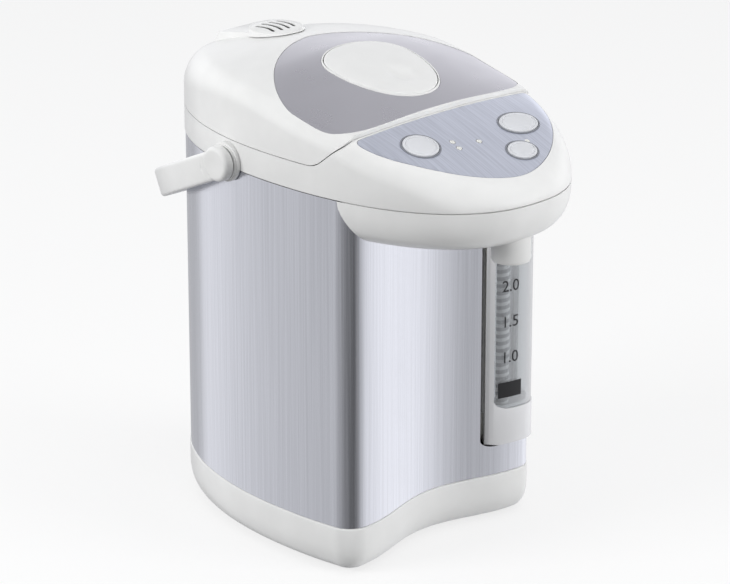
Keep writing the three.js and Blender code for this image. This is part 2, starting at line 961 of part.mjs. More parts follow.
function bottomCover() {
  const plan = inset(bodyPlan, baseFootInset + plinthWall + touchGap);
  const plate = prism(plan, coverBottomZ, coverTopZ);
  const brackets = bracketPlaces.map(([x, y]) => post(bracketPostRadius, x, y, coverBottomZ + ribWall,
    bracketZ - touchGap, pinSides));
  const boards = boardPlaces.map(([x, y]) => post(bossRadius, x, y, coverBottomZ + ribWall,
    powerBoardZ - touchGap, pinSides));
  const recesses = footPlaces.map(([x, y]) => (
    post(footRadius + touchGap, x, y, coverBottomZ - cutOverrun, coverBottomZ + footRecess)));
  const heads = screwPlaces.map(([x, y]) => (
    post(screwHeadRadius + touchGap, x, y, coverBottomZ - cutOverrun, screwHeadTopZ + touchGap, pinSides)));
  const shanks = screwPlaces.map(([x, y]) => (
    post(screwShankRadius + touchGap, x, y, coverBottomZ, coverTopZ + cutOverrun, pinSides)));
  const whole = joined(plate, ...brackets, ...boards);
  return part('bottom_cover', cut(whole, ...recesses, ...heads, ...shanks), greyPlastic);
}

function rubberFeet() {
  const topZ = coverBottomZ + footRecess - touchGap;
  footPlaces.forEach(([x, y], i) => part(`rubber_foot_${i + 1}`, post(footRadius, x, y, 0, topZ),
    rubberBlack));
}

function bottomScrews() {
  screwPlaces.forEach(([x, y], i) => part(`bottom_screw_${i + 1}`, joined(
    post(screwHeadRadius, x, y, coverBottomZ + touchGap, screwHeadTopZ, pinSides),
    post(screwShankRadius, x, y, screwHeadTopZ - touchGap, screwTipZ, pinSides),
  ), steel));
}

// Jacket
function outerJacket() {
  const bottomZ = baseSeamZ + seamGap;
  const topZ = collarSeamZ - seamGap;
  const sheet = cut(bodyPrism(0, bottomZ, topZ), bodyPrism(sheetWall, bottomZ - cutOverrun,
    topZ + cutOverrun));
  const inlet = box(-inletHalfWidth - touchGap, inletHalfWidth + touchGap, containerY, cutHigh,
    inletZ - inletHalfHeight - touchGap, inletZ + inletHalfHeight + touchGap);
  const pins = [1, -1].map((side) => pivotBore(side, pivotPinRadius + pivotPinGap));
  return part('outer_jacket', cut(sheet, inlet, gaugeOpening(gaugeCutGap), ...pins), brushedJacket);
}

function pivotBore(side, radius) {
  const [inner, outer] = [side * (bodyHalfWidth - pivotPinReach), side * cutHigh];
  return crossRod(radius, Math.min(inner, outer), Math.max(inner, outer), pivotY, pivotZ);
}

// Frames that stand on the head's sloping top, with local Z along the surface's normal
function headFrame(x, y) {
  const step = touchGap;
  const slopeX = (crownZ(x + step, y) - crownZ(x - step, y)) / (step + step);
  const slopeY = (crownZ(x, y + step) - crownZ(x, y - step)) / (step + step);
  const normal = new THREE.Vector3(-slopeX, -slopeY, 1).normalize();
  const across = new THREE.Vector3(1, 0, slopeX).normalize();
  const along = new THREE.Vector3().crossVectors(normal, across);
  const origin = new THREE.Vector3(x, y, crownZ(x, y) - lidStandProud);
  return new THREE.Matrix4().makeBasis(across, along, normal).setPosition(origin);
}

function oval(halfX, halfY, sides = ovalSides) {
  const points = [];
  for (let i = 0; i < sides; i += 1) {
    const angle = (Math.PI + Math.PI) * (i / sides);
    points.push(new THREE.Vector2(halfX * Math.cos(angle), halfY * Math.sin(angle)));
  }
  return points;
}

// Lofts flat outlines at heights along a frame's own Z
function framedLoft(frame, levels) {
  return loft(levels.map(([outline, z]) => (
    outline.map((point) => new THREE.Vector3(point.x, point.y, z).applyMatrix4(frame)))));
}

function panelPlan(distance) {
  const points = [];
  for (let i = 0; i <= panelSteps; i += 1) {
    const angle = Math.PI * (i / panelSteps);
    const x = panelHalfWidth * power(Math.cos(angle), 2 / panelRoundness);
    const y = panelBackY - panelLength * power(Math.sin(angle), 2 / panelRoundness);
    points.push(new THREE.Vector2(x, y));
  }
  for (let i = 1; i < panelBackSteps; i += 1) {
    const share = (i + i) / panelBackSteps - 1;
    points.push(new THREE.Vector2(panelHalfWidth * share, panelBackY - panelBackBow * (1 - share ** 2)));
  }
  return inset(points, distance);
}

const buttons = [
  { name: 'reboil_button', x: reboilX, y: reboilY, halfX: reboilHalfX, halfY: reboilHalfY },
  { name: 'dispense_button', x: dispenseX, y: dispenseY, halfX: dispenseHalfX, halfY: dispenseHalfY },
  { name: 'unlock_button', x: unlockX, y: unlockY, halfX: unlockHalfX, halfY: unlockHalfY },
];
const lampPlaces = lampX.map((x, i) => [x, lampY[i]]);
const boardFrame = headFrame(0, boardMiddleY);

function buttonHoles() {
  return buttons.map(({ x, y, halfX, halfY }) => framedLoft(headFrame(x, y), [
    [oval(halfX + buttonGap, halfY + buttonGap), -boardDepth / 2],
      [oval(halfX + buttonGap, halfY + buttonGap), cutOverrun],
  ]));
}

function lampHoles() {
  const hole = oval(lampRadius + touchGap, lampRadius + touchGap, pinSides);
  return lampPlaces.map(([x, y]) => framedLoft(headFrame(x, y),
    [[hole, -boardDepth / 2], [hole, cutOverrun]]));
}

function boardPosts() {
  return [-boardPostX, boardPostX].map((x) => {
    const centre = onBoard(new THREE.Vector2(x, boardPostY));
    const foot = oval(boardPostRadius, boardPostRadius, pinSides).map((point) => point.add(centre));
    return framedLoft(boardFrame, [[foot, touchGap - boardDepth], [foot, cutOverrun]]);
  });
}

// Head: the collar round the lid, the deck under it and the beak's upper half
function collarHead() {
  const outer = cut(dome(0, lidStandProud), lidRegion(seamGap));
  const cavity = cut(dome(mouldWall, lidStandProud, collarSeamZ - cutOverrun, innerRows),
    lidRegion(seamGap + deckWall));
  const lip = common(lipRing(collarSeamZ - lipHeight, collarSeamZ + lipWall),
    box(-cutHigh, cutHigh, gaugeFlankY, cutHigh, 0, cutHigh));
  const posts = boardPosts().map((piece) => common(piece, dome(mouldWall / 2, lidStandProud)));
  const shell = joined(cut(outer, cavity), lip, ...posts, hingeEars());
  const recess = cut(prism(panelPlan(0), collarSeamZ, cutHigh), dome(panelRecess, lidStandProud));
  const mouth = post(mouthHoleRadius, 0, containerY, 0, cutHigh, roundSides);
  const catchHole = box(-boltHalfX - boltGap, boltHalfX + boltGap, boltTipY - boltGap, lidFrontY,
    boltBottomZ - boltGap, boltTopZ + boltGap);
  const pins = [1, -1].map((side) => pivotBore(side, pivotPinRadius + pivotPinGap));
  const body = cut(shell, recess, mouth, catchHole, ...buttonHoles(), ...lampHoles(), ...pins);
  return part('collar_head', body, whiteGloss);
}

function hingeEars() {
  const footZ = lidSeamZ - seamGap - deckWall;
  const profile = [[hingeY + hingeRadius, footZ]];
  for (let i = 0; i <= cornerSteps + cornerSteps; i += 1) {
    const angle = Math.PI * (i / (cornerSteps + cornerSteps));
    profile.push([hingeY + hingeRadius * Math.cos(angle), hingeZ + hingeRadius * Math.sin(angle)]);
  }
  profile.push([hingeY - hingeRadius, footZ]);
  const ears = [1, -1].map((side) => {
    const [inner, outer] = [side * (knuckleHalf + earGap), side * earOuterX];
    return crossPrism(profile, Math.min(inner, outer), Math.max(inner, outer));
  });
  const bore = crossRod(hingePinRadius + hingePinGap, -earOuterX + mouldWall, earOuterX - mouldWall, hingeY,
    hingeZ, pinSides);
  return cut(common(joined(...ears), dome(0, 0)), bore);
}

function hingePin() {
  const end = earOuterX - mouldWall - touchGap;
  return part('hinge_pin', crossRod(hingePinRadius, -end, end, hingeY, hingeZ, pinSides), steel);
}

// Beak cover: a bowl under the head's front, closed at the back by the jacket
function beakBowl(wall, topZ) {
  const rings = [inset(headPlan, wall).map((point) => new THREE.Vector3(point.x, point.y, topZ))];
  for (let i = 0; i <= shoulderSteps + 1; i += 1) {
    const angle = quarterTurn * (i / (shoulderSteps + 1));
    const distance = wall + (beakBottomInset - wall) * (1 - power(Math.cos(angle), 2 / beakSquareness));
    const z = collarSeamZ - seamGap - (beakDepth - wall) * power(Math.sin(angle), 2 / beakSquareness);
    rings.push(inset(headPlan, distance).map((point) => new THREE.Vector3(point.x, point.y, z)));
  }
  return loft(topZ > collarSeamZ - seamGap ? rings : rings.slice(1));
}

function beakLowerCover() {
  const shell = cut(beakBowl(0, 0), beakBowl(mouldWall, collarSeamZ + cutOverrun));
  const body = bodyPrism(-beakBackClearance, 0, cutHigh);
  const back = box(-cutHigh, cutHigh, cornerFrontY + cornerRadius, cutHigh, 0, cutHigh);
  const hole = post(spoutRadius + touchGap, 0, spoutY, 0, cutHigh, spoutSides);
  return part('beak_lower_cover', cut(shell, body, back, hole), whiteGloss);
}

function spoutNozzle() {
  const mouthTop = spoutTopZ - spoutNeckHeight;
  const skirt = turned([
    [spoutBore, spoutTopZ], [outletRadius + outletRadius, spoutTopZ], [spoutRadius, mouthTop],
    [spoutRadius, spoutBottomZ + spoutTipHeight], [spoutTipRadius, spoutBottomZ],
    [spoutTipRadius - spoutSkirtWall, spoutBottomZ], [spoutRadius - spoutSkirtWall,
      mouthTop - spoutSkirtWall],
    [spoutBore, mouthTop],
  ], 0, spoutY, spoutSides);
  return part('spout_nozzle', skirt, whiteSatin);
}

// Control panel, buttons, lamps and board
function controlPanel() {
  const skin = cut(dome(0, lidStandProud), dome(panelWall, lidStandProud));
  const plate = common(skin, prism(panelPlan(panelEdgeGap), collarSeamZ, cutHigh));
  return part('control_panel', cut(plate, ...buttonHoles(), ...lampHoles()), brushedBlue);
}

function pushButton({ name, x, y, halfX, halfY }) {
  const frame = headFrame(x, y);
  const edge = inset(oval(halfX, halfY), buttonEdge);
  const top = inset(oval(halfX, halfY), halfY / 2);
  const cap = framedLoft(frame, [
    [oval(halfX, halfY), -buttonSink], [oval(halfX, halfY), buttonProud - buttonEdge], [edge, buttonProud],
    [top, buttonProud + buttonCrown * buttonCrownShare], [[new THREE.Vector2(0, 0)],
      buttonProud + buttonCrown],
  ]);
  const round = oval(stemRadius, stemRadius, pinSides);
  const stem = framedLoft(frame, [[round, -stemDepth], [round, 0]]);
  return part(name, joined(cap, stem), whiteSatin);
}

// One light guide carries the three lamp faces on a thin bridge
function lightGuide() {
  const pipe = oval(lampRadius, lampRadius, pinSides);
  const lamps = lampPlaces.map(([x, y]) => framedLoft(headFrame(x, y),
    [[pipe, touchGap - boardDepth], [pipe, touchGap]]));
  const bridge = rectangle(guideHalfX, guideHalfY);
  const frame = headFrame((lampX[0] + lampX[2]) / 2, (lampY[0] + lampY[1]) / 2);
  const plate = framedLoft(frame, [[bridge, touchGap - boardDepth / 2 - guideWall],
    [bridge, touchGap - boardDepth / 2]]);
  return part('light_guide', joined(plate, ...lamps), clearPlastic);
}

function rectangle(halfX, halfY) {
  return [[-1, -1], [1, -1], [1, 1], [-1, 1]].map(([x, y]) => new THREE.Vector2(x * halfX, y * halfY));
}

// Plan points carried onto the board's sloping plane
function onBoard(point) {
  const inverse = boardFrame.clone().invert();
  const surface = new THREE.Vector3(point.x, point.y, crownZ(point.x,
    point.y) - lidStandProud).applyMatrix4(inverse);
  return new THREE.Vector2(surface.x, surface.y);
}

function controlBoard() {
  const plan = panelPlan(0).map((point) => onBoard(new THREE.Vector2(point.x * boardShare,
    panelBackY - boardInset + (point.y - panelBackY) * boardShare)));
  const plate = framedLoft(boardFrame, [[plan, -boardDepth - boardWall], [plan, -boardDepth]]);
  const inverse = boardFrame.clone().invert();
  const switches = buttons.map(({ x, y }) => {
    const tip = new THREE.Vector3(0, 0, -stemDepth).applyMatrix4(headFrame(x, y)).applyMatrix4(inverse);
    const outline = rectangle(switchSide / 2, switchSide / 2).map((point) => point.add(tip));
    const switchTop = tip.z - buttonTravel - switchClearance;
    return framedLoft(boardFrame, [[outline, -boardDepth - boardWall / 2], [outline, switchTop]]);
  });
  return part('control_board', joined(plate, ...switches), boardGreen);
}

// Gauge panel. Its line runs from the flank round the corner to the front, a little proud of the jacket.
function cornerLine() {
  const points = [];
  const cornerStartY = cornerFrontY + cornerRadius;
  const centreX = beakHalfWidthAt(cornerStartY) - cornerRadius;
  for (let i = 0; i <= flankSteps; i += 1) {
    const y = gaugeFlankY + (cornerStartY - gaugeFlankY) * (i / flankSteps);
    points.push(new THREE.Vector2(beakHalfWidthAt(y), y));
  }
  for (let i = 1; i <= cornerSteps + flankSteps; i += 1) {
    const angle = quarterTurn * (i / (cornerSteps + flankSteps));
    points.push(new THREE.Vector2(centreX + cornerRadius * Math.cos(angle),
      cornerStartY - cornerRadius * Math.sin(angle)));
  }
  for (let i = 1; i <= frontSteps; i += 1) {
    const x = centreX + (gaugeLeftX - centreX) * (i / frontSteps);
    const rise = (1 - Math.cos(Math.PI * (1 - x / centreX))) / 2;
    points.push(new THREE.Vector2(x, cornerFrontY + (frontMiddleY - cornerFrontY) * rise));
  }
  return points;
}

// The line moved outwards by a distance that swells from its ends to its middle
function gaugeLine(proud, swell) {
  const line = cornerLine();
  return line.map((point, i) => {
    const before = line[Math.max(i - 1, 0)];
    const after = line[Math.min(i + 1, line.length - 1)];
    const normal = new THREE.Vector2(before.y - after.y, after.x - before.x).normalize();
    const outwards = normal.x - normal.y > 0 ? normal : normal.negate();
    const bulge = Math.sin(Math.PI * (i / (line.length - 1))) ** gaugeSwellPower;
    const rise = proud - collarOverhang + swell * bulge;
    return point.clone().addScaledVector(outwards, rise);
  });
}

function gaugeBand(outerProud, outerSwell, innerProud, innerSwell) {
  const outline = [...gaugeLine(outerProud, outerSwell), ...gaugeLine(innerProud, innerSwell).reverse()];
  return prism(outline, 0, collarSeamZ);
}

// A prism with rounded corners that looks at the pot's corner from the diagonal
function diagonalWindow(leftGrowth, bottomZ, topZ, radius, startDepth = diagonalDepth) {
  const line = cornerLine();
  const slant = (point) => (point.x + point.y) * Math.SQRT1_2;
  const left = slant(line[line.length - 1]) - leftGrowth;
  const right = slant(line[0]) + leftGrowth;
  const corners = [[left + radius, bottomZ + radius, Math.PI],
    [right - radius, bottomZ + radius, -quarterTurn]];
  const points = [];
  corners.forEach(([u, z, start]) => {
    for (let i = 0; i <= cornerSteps; i += 1) {
      const angle = start + quarterTurn * (i / cornerSteps);
      points.push([u + radius * Math.cos(angle), z + radius * Math.sin(angle)]);
    }
  });
  points.push([right, topZ], [left, topZ]);
  return loft([startDepth, cutHigh].map((depth) => points.map(([u, z]) => (
    new THREE.Vector3((u + depth) * Math.SQRT1_2, (u - depth) * Math.SQRT1_2, z)))));
}

function gaugeOpening(growth) {
  return diagonalWindow(growth, gaugeBottomZ - growth, gaugeTopZ + growth, gaugeCornerRadius + growth);
}

const gaugeSwell = gaugeProud - gaugeEdgeProud;
const windowTopZ = gaugeTopZ - windowTopInset;

function gaugeWindow(growth) {
  return diagonalWindow(growth - windowInset, windowBottomZ - growth, windowTopZ + growth,
    windowCornerRadius + growth);
}

function gaugeFrame() {
  const band = gaugeBand(gaugeEdgeProud, gaugeSwell, gaugeEdgeProud - gaugeWall, gaugeSwell);
  return part('gauge_frame', cut(common(band, gaugeOpening(0)), gaugeWindow(0)), silver);
}

function gaugePane() {
  const outer = gaugeEdgeProud - paneSink;
  const band = gaugeBand(outer, gaugeSwell, outer - paneWall, gaugeSwell);
  return part('gauge_pane', common(band, gaugeWindow(-touchGap)), clearPlastic);
}

// The tray behind the pane holds the sight tube. Its back is one flat wall across the corner.
function trayPlan(proud) {
  const line = cornerLine();
  const [flank, left] = [line[0], line[line.length - 1]];
  const corners = [new THREE.Vector2(left.x, left.y + trayDepth),
    new THREE.Vector2(flank.x - trayDepth, flank.y)];
  return [...gaugeLine(proud, gaugeSwell), ...corners];
}

function gaugeTray() {
  const front = gaugeEdgeProud - gaugeWall - touchGap;
  const outer = common(prism(trayPlan(front), 0, collarSeamZ), gaugeWindow(trayLip));
  const inner = common(prism(inset(trayPlan(gaugeProud), trayWall), 0, collarSeamZ),
    gaugeWindow(trayLip - trayWall));
  const [x, y] = tubePlace;
  const bore = post(tubeRadius + touchGap, x, y, 0, cutHigh);
  return part('gauge_tray', cut(outer, inner, bore), whiteSatin);
}

function gaugeTube() {
  const [x, y] = tubePlace;
  return part('gauge_tube', tube(tubeRadius, tubeBore, x, y, tubeBottomZ, tubeTopZ), clearPlastic);
}

function tipValve() {
  const [x, y] = tubePlace;
  const valve = turned([
    [tubeRadius + touchGap, tubeTopZ - sleeveLap], [valveNeckRadius, tubeTopZ - sleeveLap],
    [valveNeckRadius, tubeTopZ], [valveRadius, tubeTopZ + sleeveWall],
      [valveRadius, tubeTopZ + valveHeight],
    [outletBore + sleeveWall, tubeTopZ + valveHeight], [outletBore + sleeveWall, valveTopZ],
    [outletBore, valveTopZ], [outletBore, tubeTopZ + touchGap],
      [tubeRadius + touchGap, tubeTopZ + touchGap],
  ], x, y, smallSides);
  return part('tip_valve', valve, whiteSatin);
}

// A hose along points: a round section swept along a smooth curve, with its bore cut out
function hose(points, outer, inner, steps = pathSteps) {
  const sweep = (radius, curve, count) => {
    const section = new THREE.Shape(oval(radius, radius, sectionSides));
    return oriented(new THREE.ExtrudeGeometry(section, { steps: count, extrudePath: curve,
      bevelEnabled: false }));
  };
  const places = points.map(([x, y, z]) => new THREE.Vector3(x, y, z));
  const extend = (end, next) => end.clone().add(end.clone().sub(next).setLength(cutOverrun));
  const longer = [extend(places[0], places[1]), ...places, extend(places.at(-1), places.at(-2))];
  const curve = new THREE.CatmullRomCurve3(places, false, 'catmullrom', hoseTension);
  const bore = new THREE.CatmullRomCurve3(longer, false, 'catmullrom', hoseTension);
  return cut(sweep(outer, curve, steps), sweep(inner, bore, steps + boreExtraSteps));
}

function outletPipe() {
  const [x, y] = tubePlace;
  const points = [
    [x, y, tubeTopZ + valveHeight + touchGap], [x, y, valveTopZ + sleeveWall],
      [x, y, valveTopZ + outletStub + outletStub],
    [x * outletTurnShare, y + (outletBendY - y) / 2, outletTopZ], [x / 2, outletBendY, outletBendZ],
    [outletRadius, spoutY + spoutRadius, outletDropZ], [0, spoutY + outletBore, outletDropZ - touchGap],
    [0, spoutY, spoutTopZ + outletStub], [0, spoutY, spoutTopZ + touchGap + touchGap],
  ];
  return part('outlet_pipe', hose(points, outletRadius + hoseWall, outletRadius + touchGap + touchGap),
    siliconeClear);
}

// Container
function innerContainer() {
  const r = containerRadius;
  const w = sheetWall;
  const fillet = containerBottomFillet;
  const profile = [
    [0, containerBottomZ], [r + w - fillet, containerBottomZ],
      [r + w - fillet * filletShare, containerBottomZ + fillet * filletShare],
    [r + w, containerBottomZ + fillet], [r + w, neckStartZ], [neckRadius + w, neckEndZ],
      [neckRadius + w, flangeZ - w],
    [containerFlangeRadius, flangeZ - w], [containerFlangeRadius, flangeZ], [neckRadius, flangeZ],
      [neckRadius, neckEndZ],
    [r, neckStartZ], [r, containerBottomZ + fillet], [r - fillet, containerBottomZ + w],
      [0, containerBottomZ + w],
  ];
  const spout = post(drainRadius, drainX, drainY, containerBottomZ - drainLength, containerBottomZ + w / 2);
  const bore = post(drainBore, drainX, drainY, 0, containerBottomZ + cutOverrun);
  return part('inner_container', cut(joined(turned(profile, 0, containerY), spout), bore), steel);
}

function containerSeal() {
  const outer = containerFlangeRadius;
  return part('container_seal', tube(outer, neckRadius + sheetWall, 0, containerY, flangeZ + touchGap,
    deckBottomZ - touchGap, roundSides), siliconeClear);
}

function mouthRing() {
  const deckTop = deckBottomZ + deckWall;
  const wall = mouthRingWall;
  const ring = turned([
    [mouthRingInner, deckTop - mouthRingDepth], [mouthRingInner + wall, deckTop - mouthRingDepth],
    [mouthRingInner + wall, deckTop + touchGap], [mouthRingFlange, deckTop + touchGap],
    [mouthRingFlange, deckTop + mouthRingFlangeWall], [mouthRingInner + wall,
      deckTop + mouthRingFlangeWall + touchGap],
    [mouthRingInner, deckTop + mouthRingFlangeWall],
  ], 0, containerY);
  return part('mouth_ring', ring, whiteSatin);
}

function containerInsulation() {
  const inner = containerRadius + sheetWall + touchGap;
  return part('insulation_sleeve', tube(inner + insulationWall, inner, 0, containerY, insulationBottomZ,
    insulationTopZ,
    roundSides), fibreFelt);
}

function supportFrame() {
  const rimRadius = containerRadius + sheetWall + touchGap;
  const ring = turned([
    [supportInner, supportZ], [supportOuter, supportZ], [supportOuter, containerBottomZ + supportRimLap],
    [rimRadius, containerBottomZ + supportRimLap], [rimRadius, containerBottomZ - touchGap],
    [supportSeat, containerBottomZ - touchGap], [supportSeat, supportZ + supportWall],
      [supportInner, supportZ + supportWall],
  ], 0, containerY);
  const posts = supportPostAngles.map((degrees) => {
    const angle = THREE.MathUtils.degToRad(degrees);
    const [x, y] = [supportPostRing * Math.cos(angle), containerY + supportPostRing * Math.sin(angle)];
    return post(supportPostRadius, x, y, coverTopZ + touchGap, supportZ + supportWall / 2, pinSides);
  });
  const pumpRoom = post(pumpRadius + supportPostRadius, drainX, drainY, supportZ - cutOverrun, cutHigh);
  return part('support_frame', joined(cut(ring, pumpRoom), ...posts), whiteSatin);
}

// Heater, thermostat and fuse under the container
function heaterPlate() {
  const topZ = containerBottomZ - touchGap;
  const disc = tube(heaterRadius, heaterHole, 0, heaterY, topZ - heaterWall, topZ, roundSides);
  const rib = new THREE.TorusGeometry(heaterRibRadius, heaterRibThick, sectionSides, roundSides);
  const coil = cut(placed(rib, 0, heaterY, topZ - heaterWall),
    box(-cutHigh, cutHigh, -cutHigh, cutHigh, topZ, cutHigh));
  const drainRoom = post(drainRadius + hoseWall + hoseWall, drainX, drainY, 0, cutHigh);
  return part('heater_plate', cut(joined(disc, coil), drainRoom), darkSteel);
}

function thermostat() {
  const topZ = containerBottomZ - touchGap;
  const body = post(thermostatRadius, 0, heaterY, topZ - thermostatHeight, topZ);
  const tabs = [1, -1].map((side) => box(Math.min(0, side * thermostatTab),
    Math.max(0, side * thermostatTab),
    heaterY - tabWidth / 2, heaterY + tabWidth / 2, topZ - thermostatHeight,
      topZ - thermostatHeight + tabWall));
  return part('thermostat', joined(body, ...tabs), blackPlastic);
}

function thermalFuse() {
  const z = containerBottomZ - touchGap - fuseRadius;
  const fuse = depthRod(fuseRadius, fuseX, containerY - fuseLength / 2, containerY + fuseLength / 2, z,
    pinSides);
  const clip = box(fuseX - fuseRadius, fuseX + fuseRadius, containerY - tabWidth / 2,
    containerY + tabWidth / 2,
    z, containerBottomZ - touchGap);
  return part('thermal_fuse', joined(fuse, clip), brass);
}

// Motor and pump. The rotor's magnet turns the impeller through the closed pump floor.
function motorCan() {
  const topZ = bracketZ - touchGap;
  const wall = sheetWall;
  const can = turned([
    [0, motorBottomZ], [motorRadius - wall, motorBottomZ], [motorRadius, motorBottomZ + wall],
      [motorRadius, topZ],
    [motorShaftBore, topZ], [motorShaftBore, motorBottomZ + motorBearing], [0, motorBottomZ + motorBearing],
  ], drainX, drainY, smallSides);
  return part('motor_can', can, steel);
}

const magnetTopZ = pumpFloorZ - impellerGap;
const magnetBottomZ = magnetTopZ - magnetHeight;

function driveRotor() {
  const shaft = post(motorShaftRadius, drainX, drainY, motorBottomZ + motorBearing + touchGap,
    magnetBottomZ + touchGap, pinSides);
  const magnet = post(magnetRadius, drainX, drainY, magnetBottomZ, magnetTopZ);
  return part('drive_rotor', joined(shaft, magnet), magnetGrey);
}

const pumpTopFloorZ = pumpFloorZ + pumpFloorWall;

function pumpHousing() {
  const chamber = pumpRadius - pumpWall;
  const plate = box(drainX - bracketHalfX, drainX + bracketHalfX, drainY - bracketHalfY,
    drainY + bracketHalfY, bracketZ,
    bracketZ + bracketWall);
  const skirt = turned([
    [chamber, bracketZ], [pumpRadius, bracketZ], [pumpRadius, pumpTopZ], [chamber, pumpTopZ],
      [chamber, pumpTopFloorZ],
    [0, pumpTopFloorZ], [0, pumpFloorZ], [chamber, pumpFloorZ],
  ], drainX, drainY, smallSides);
  const stubZ = (pumpTopFloorZ + pumpTopZ) / 2;
  const stub = depthRod(pumpNozzleRadius, drainX, drainY - pumpRadius - outletStubLength,
    drainY - chamber - pumpWall / 2, stubZ);
  const bore = depthRod(pumpNozzleBore, drainX, drainY - pumpRadius - outletStubLength - cutOverrun,
    drainY - impellerRadius, stubZ);
  const room = post(chamber, drainX, drainY, bracketZ - cutOverrun, bracketZ + bracketWall + touchGap);
  return part('pump_housing', cut(joined(skirt, stub, cut(plate, room)), bore), whiteSatin);
}

function pumpImpeller() {
  const bottomZ = pumpTopFloorZ + impellerGap;
  const vaneZ = bottomZ + impellerDiscWall;
  const disc = post(impellerRadius, drainX, drainY, bottomZ, vaneZ);
  const hub = post(impellerHubRadius, drainX, drainY, bottomZ, vaneZ + impellerVaneHeight);
  const reach = (impellerRadius + impellerHubRadius) / 2;
  const lift = vaneZ + (impellerVaneHeight - impellerGap) / 2;
  const vanes = [];
  for (let i = 0; i < impellerVanes; i += 1) {
    const turn = (Math.PI + Math.PI) * (i / impellerVanes);
    const blade = new THREE.BoxGeometry(impellerRadius - impellerHubRadius, impellerVaneWall,
      impellerVaneHeight + impellerGap);
    blade.rotateZ(impellerSweep);
    blade.translate(reach, 0, 0);
    vanes.push(placed(blade, drainX, drainY, lift, 0, turn));
  }
  const room = post(impellerRadius, drainX, drainY, 0, cutHigh);
  return part('pump_impeller', joined(disc, hub, common(joined(...vanes), room)), whiteSatin);
}

function pumpCover() {
  const bottomZ = pumpTopZ + touchGap;
  const topZ = bottomZ + pumpCoverWall;
  const plate = tube(pumpRadius, drainBore, drainX, drainY, bottomZ, topZ);
  const collarInner = drainRadius + touchGap + hoseWall + touchGap;
  const collar = tube(collarInner + hoseWall, collarInner, drainX, drainY, topZ - touchGap,
    topZ + pumpCollarHeight);
  return part('pump_cover', joined(plate, collar), whiteSatin);
}

function inletSleeve() {
  const bottomZ = pumpTopZ + pumpCoverWall + touchGap + touchGap;
  const outer = drainRadius + touchGap + hoseWall;
  return part('inlet_sleeve', tube(outer, drainRadius + touchGap, drainX, drainY, bottomZ,
    containerBottomZ - touchGap), siliconeClear);
}

function riserHose() {
  const [x, y] = tubePlace;
  const stubZ = (pumpTopFloorZ + pumpTopZ) / 2;
  const startY = drainY - pumpRadius - touchGap;
  const points = [
    [drainX, startY, stubZ], [drainX, startY - outletStubLength, stubZ],
    [(drainX + x) / 2, (startY + y) / 2 - outletStubLength / 2, stubZ + hoseWall],
      [x, y, stubZ + outletStubLength + outletStubLength],
    [x, y, tubeBottomZ], [x, y, tubeBottomZ + sleeveLap],
  ];
  return part('riser_hose', hose(points, tubeRadius + touchGap + hoseWall,
    tubeRadius + touchGap + touchGap), siliconeClear);
}

// Power board
function powerBoard() {
  const x = powerBoardX;
  const y = powerBoardY;
  const topZ = powerBoardZ + boardWall;
  const [halfX, halfY] = [powerBoardWidth / 2, powerBoardDepth / 2];
  const plate = box(x - halfX, x + halfX, y - halfY, y + halfY, powerBoardZ, topZ);
  const z = topZ - touchGap;
  const left = x - halfX + bossInset + bossInset;
  const right = x + halfX - bossInset - bossInset;
  const back = y + halfY - bossInset;
  const coil = box(left, left + coilWidth, back - coilDepth, back, z, z + coilHeight);
  const relay = box(right - relayWidth, right, back - relayDepth, back, z, z + relayHeight);
  const capacitor = post(capRadius, x, y - capRadius, z, z + capHeight);
  const plug = box(right - relayDepth, right, y - relayWidth, y - relayWidth / 2, z, z + coilHeight / 2);
  return part('power_board', joined(plate, coil, relay, capacitor, plug), boardGreen);
}

// Power inlet. Its recess has two pins, and nothing is plugged in.
function inletSocket() {
  const plan = (distance) => inset(jacketPlan, distance);
  const flangeBand = cut(prism(plan(-inletFlangeWall - touchGap), 0, collarSeamZ),
    prism(plan(-touchGap), -cutOverrun, cutHigh));
  const flangeWindow = box(-inletHalfWidth - inletLap, inletHalfWidth + inletLap, containerY, cutHigh,
    inletZ - inletHalfHeight - inletLap, inletZ + inletHalfHeight + inletLap);
  const backY = widestY + backReach - collarOverhang;
  const body = common(box(-inletHalfWidth, inletHalfWidth, backY - inletDepth, cutHigh,
    inletZ - inletHalfHeight, inletZ + inletHalfHeight), prism(plan(-inletFlangeWall / 2 - touchGap), 0,
      collarSeamZ));
  const recess = box(-recessHalfWidth, recessHalfWidth, backY - recessDepth, cutHigh,
    inletZ - recessHalfHeight, inletZ + recessHalfHeight);
  const bores = [1, -1].map((side) => depthRod(inletPinRadius + touchGap, side * inletPinSpread,
    backY - inletDepth - cutOverrun, backY, inletZ, pinSides));
  return part('power_inlet', cut(joined(common(flangeBand, flangeWindow), body), recess, ...bores),
    blackPlastic);
}

function inletPins() {
  const backY = widestY + backReach - collarOverhang;
  const pins = [1, -1].map((side) => depthRod(inletPinRadius, side * inletPinSpread,
    backY - inletDepth - inletPinLength / 2,
    backY - recessDepth + inletPinLength, inletZ, pinSides));
  const rearY = backY - inletDepth - inletPinLength / 2;
  const bridge = box(-inletPinSpread - inletPinRadius, inletPinSpread + inletPinRadius,
    rearY - inletPinRadius, rearY + touchGap,
    inletZ - inletPinRadius, inletZ + inletPinRadius);
  return part('inlet_contacts', joined(...pins, bridge), brass);
}

// Bail handle. Its strap is drawn lying flat behind the pivot and then droops to its rest.
function strapOutline(halfWidth, reach) {
  const points = [];
  for (let i = 0; i <= strapSteps; i += 1) {
    const angle = Math.PI * (i / strapSteps);
    points.push(new THREE.Vector2(halfWidth * power(Math.cos(angle), 2 / strapRoundness),
      reach * power(Math.sin(angle), 2 / strapRoundness)));
  }
  return points;
}

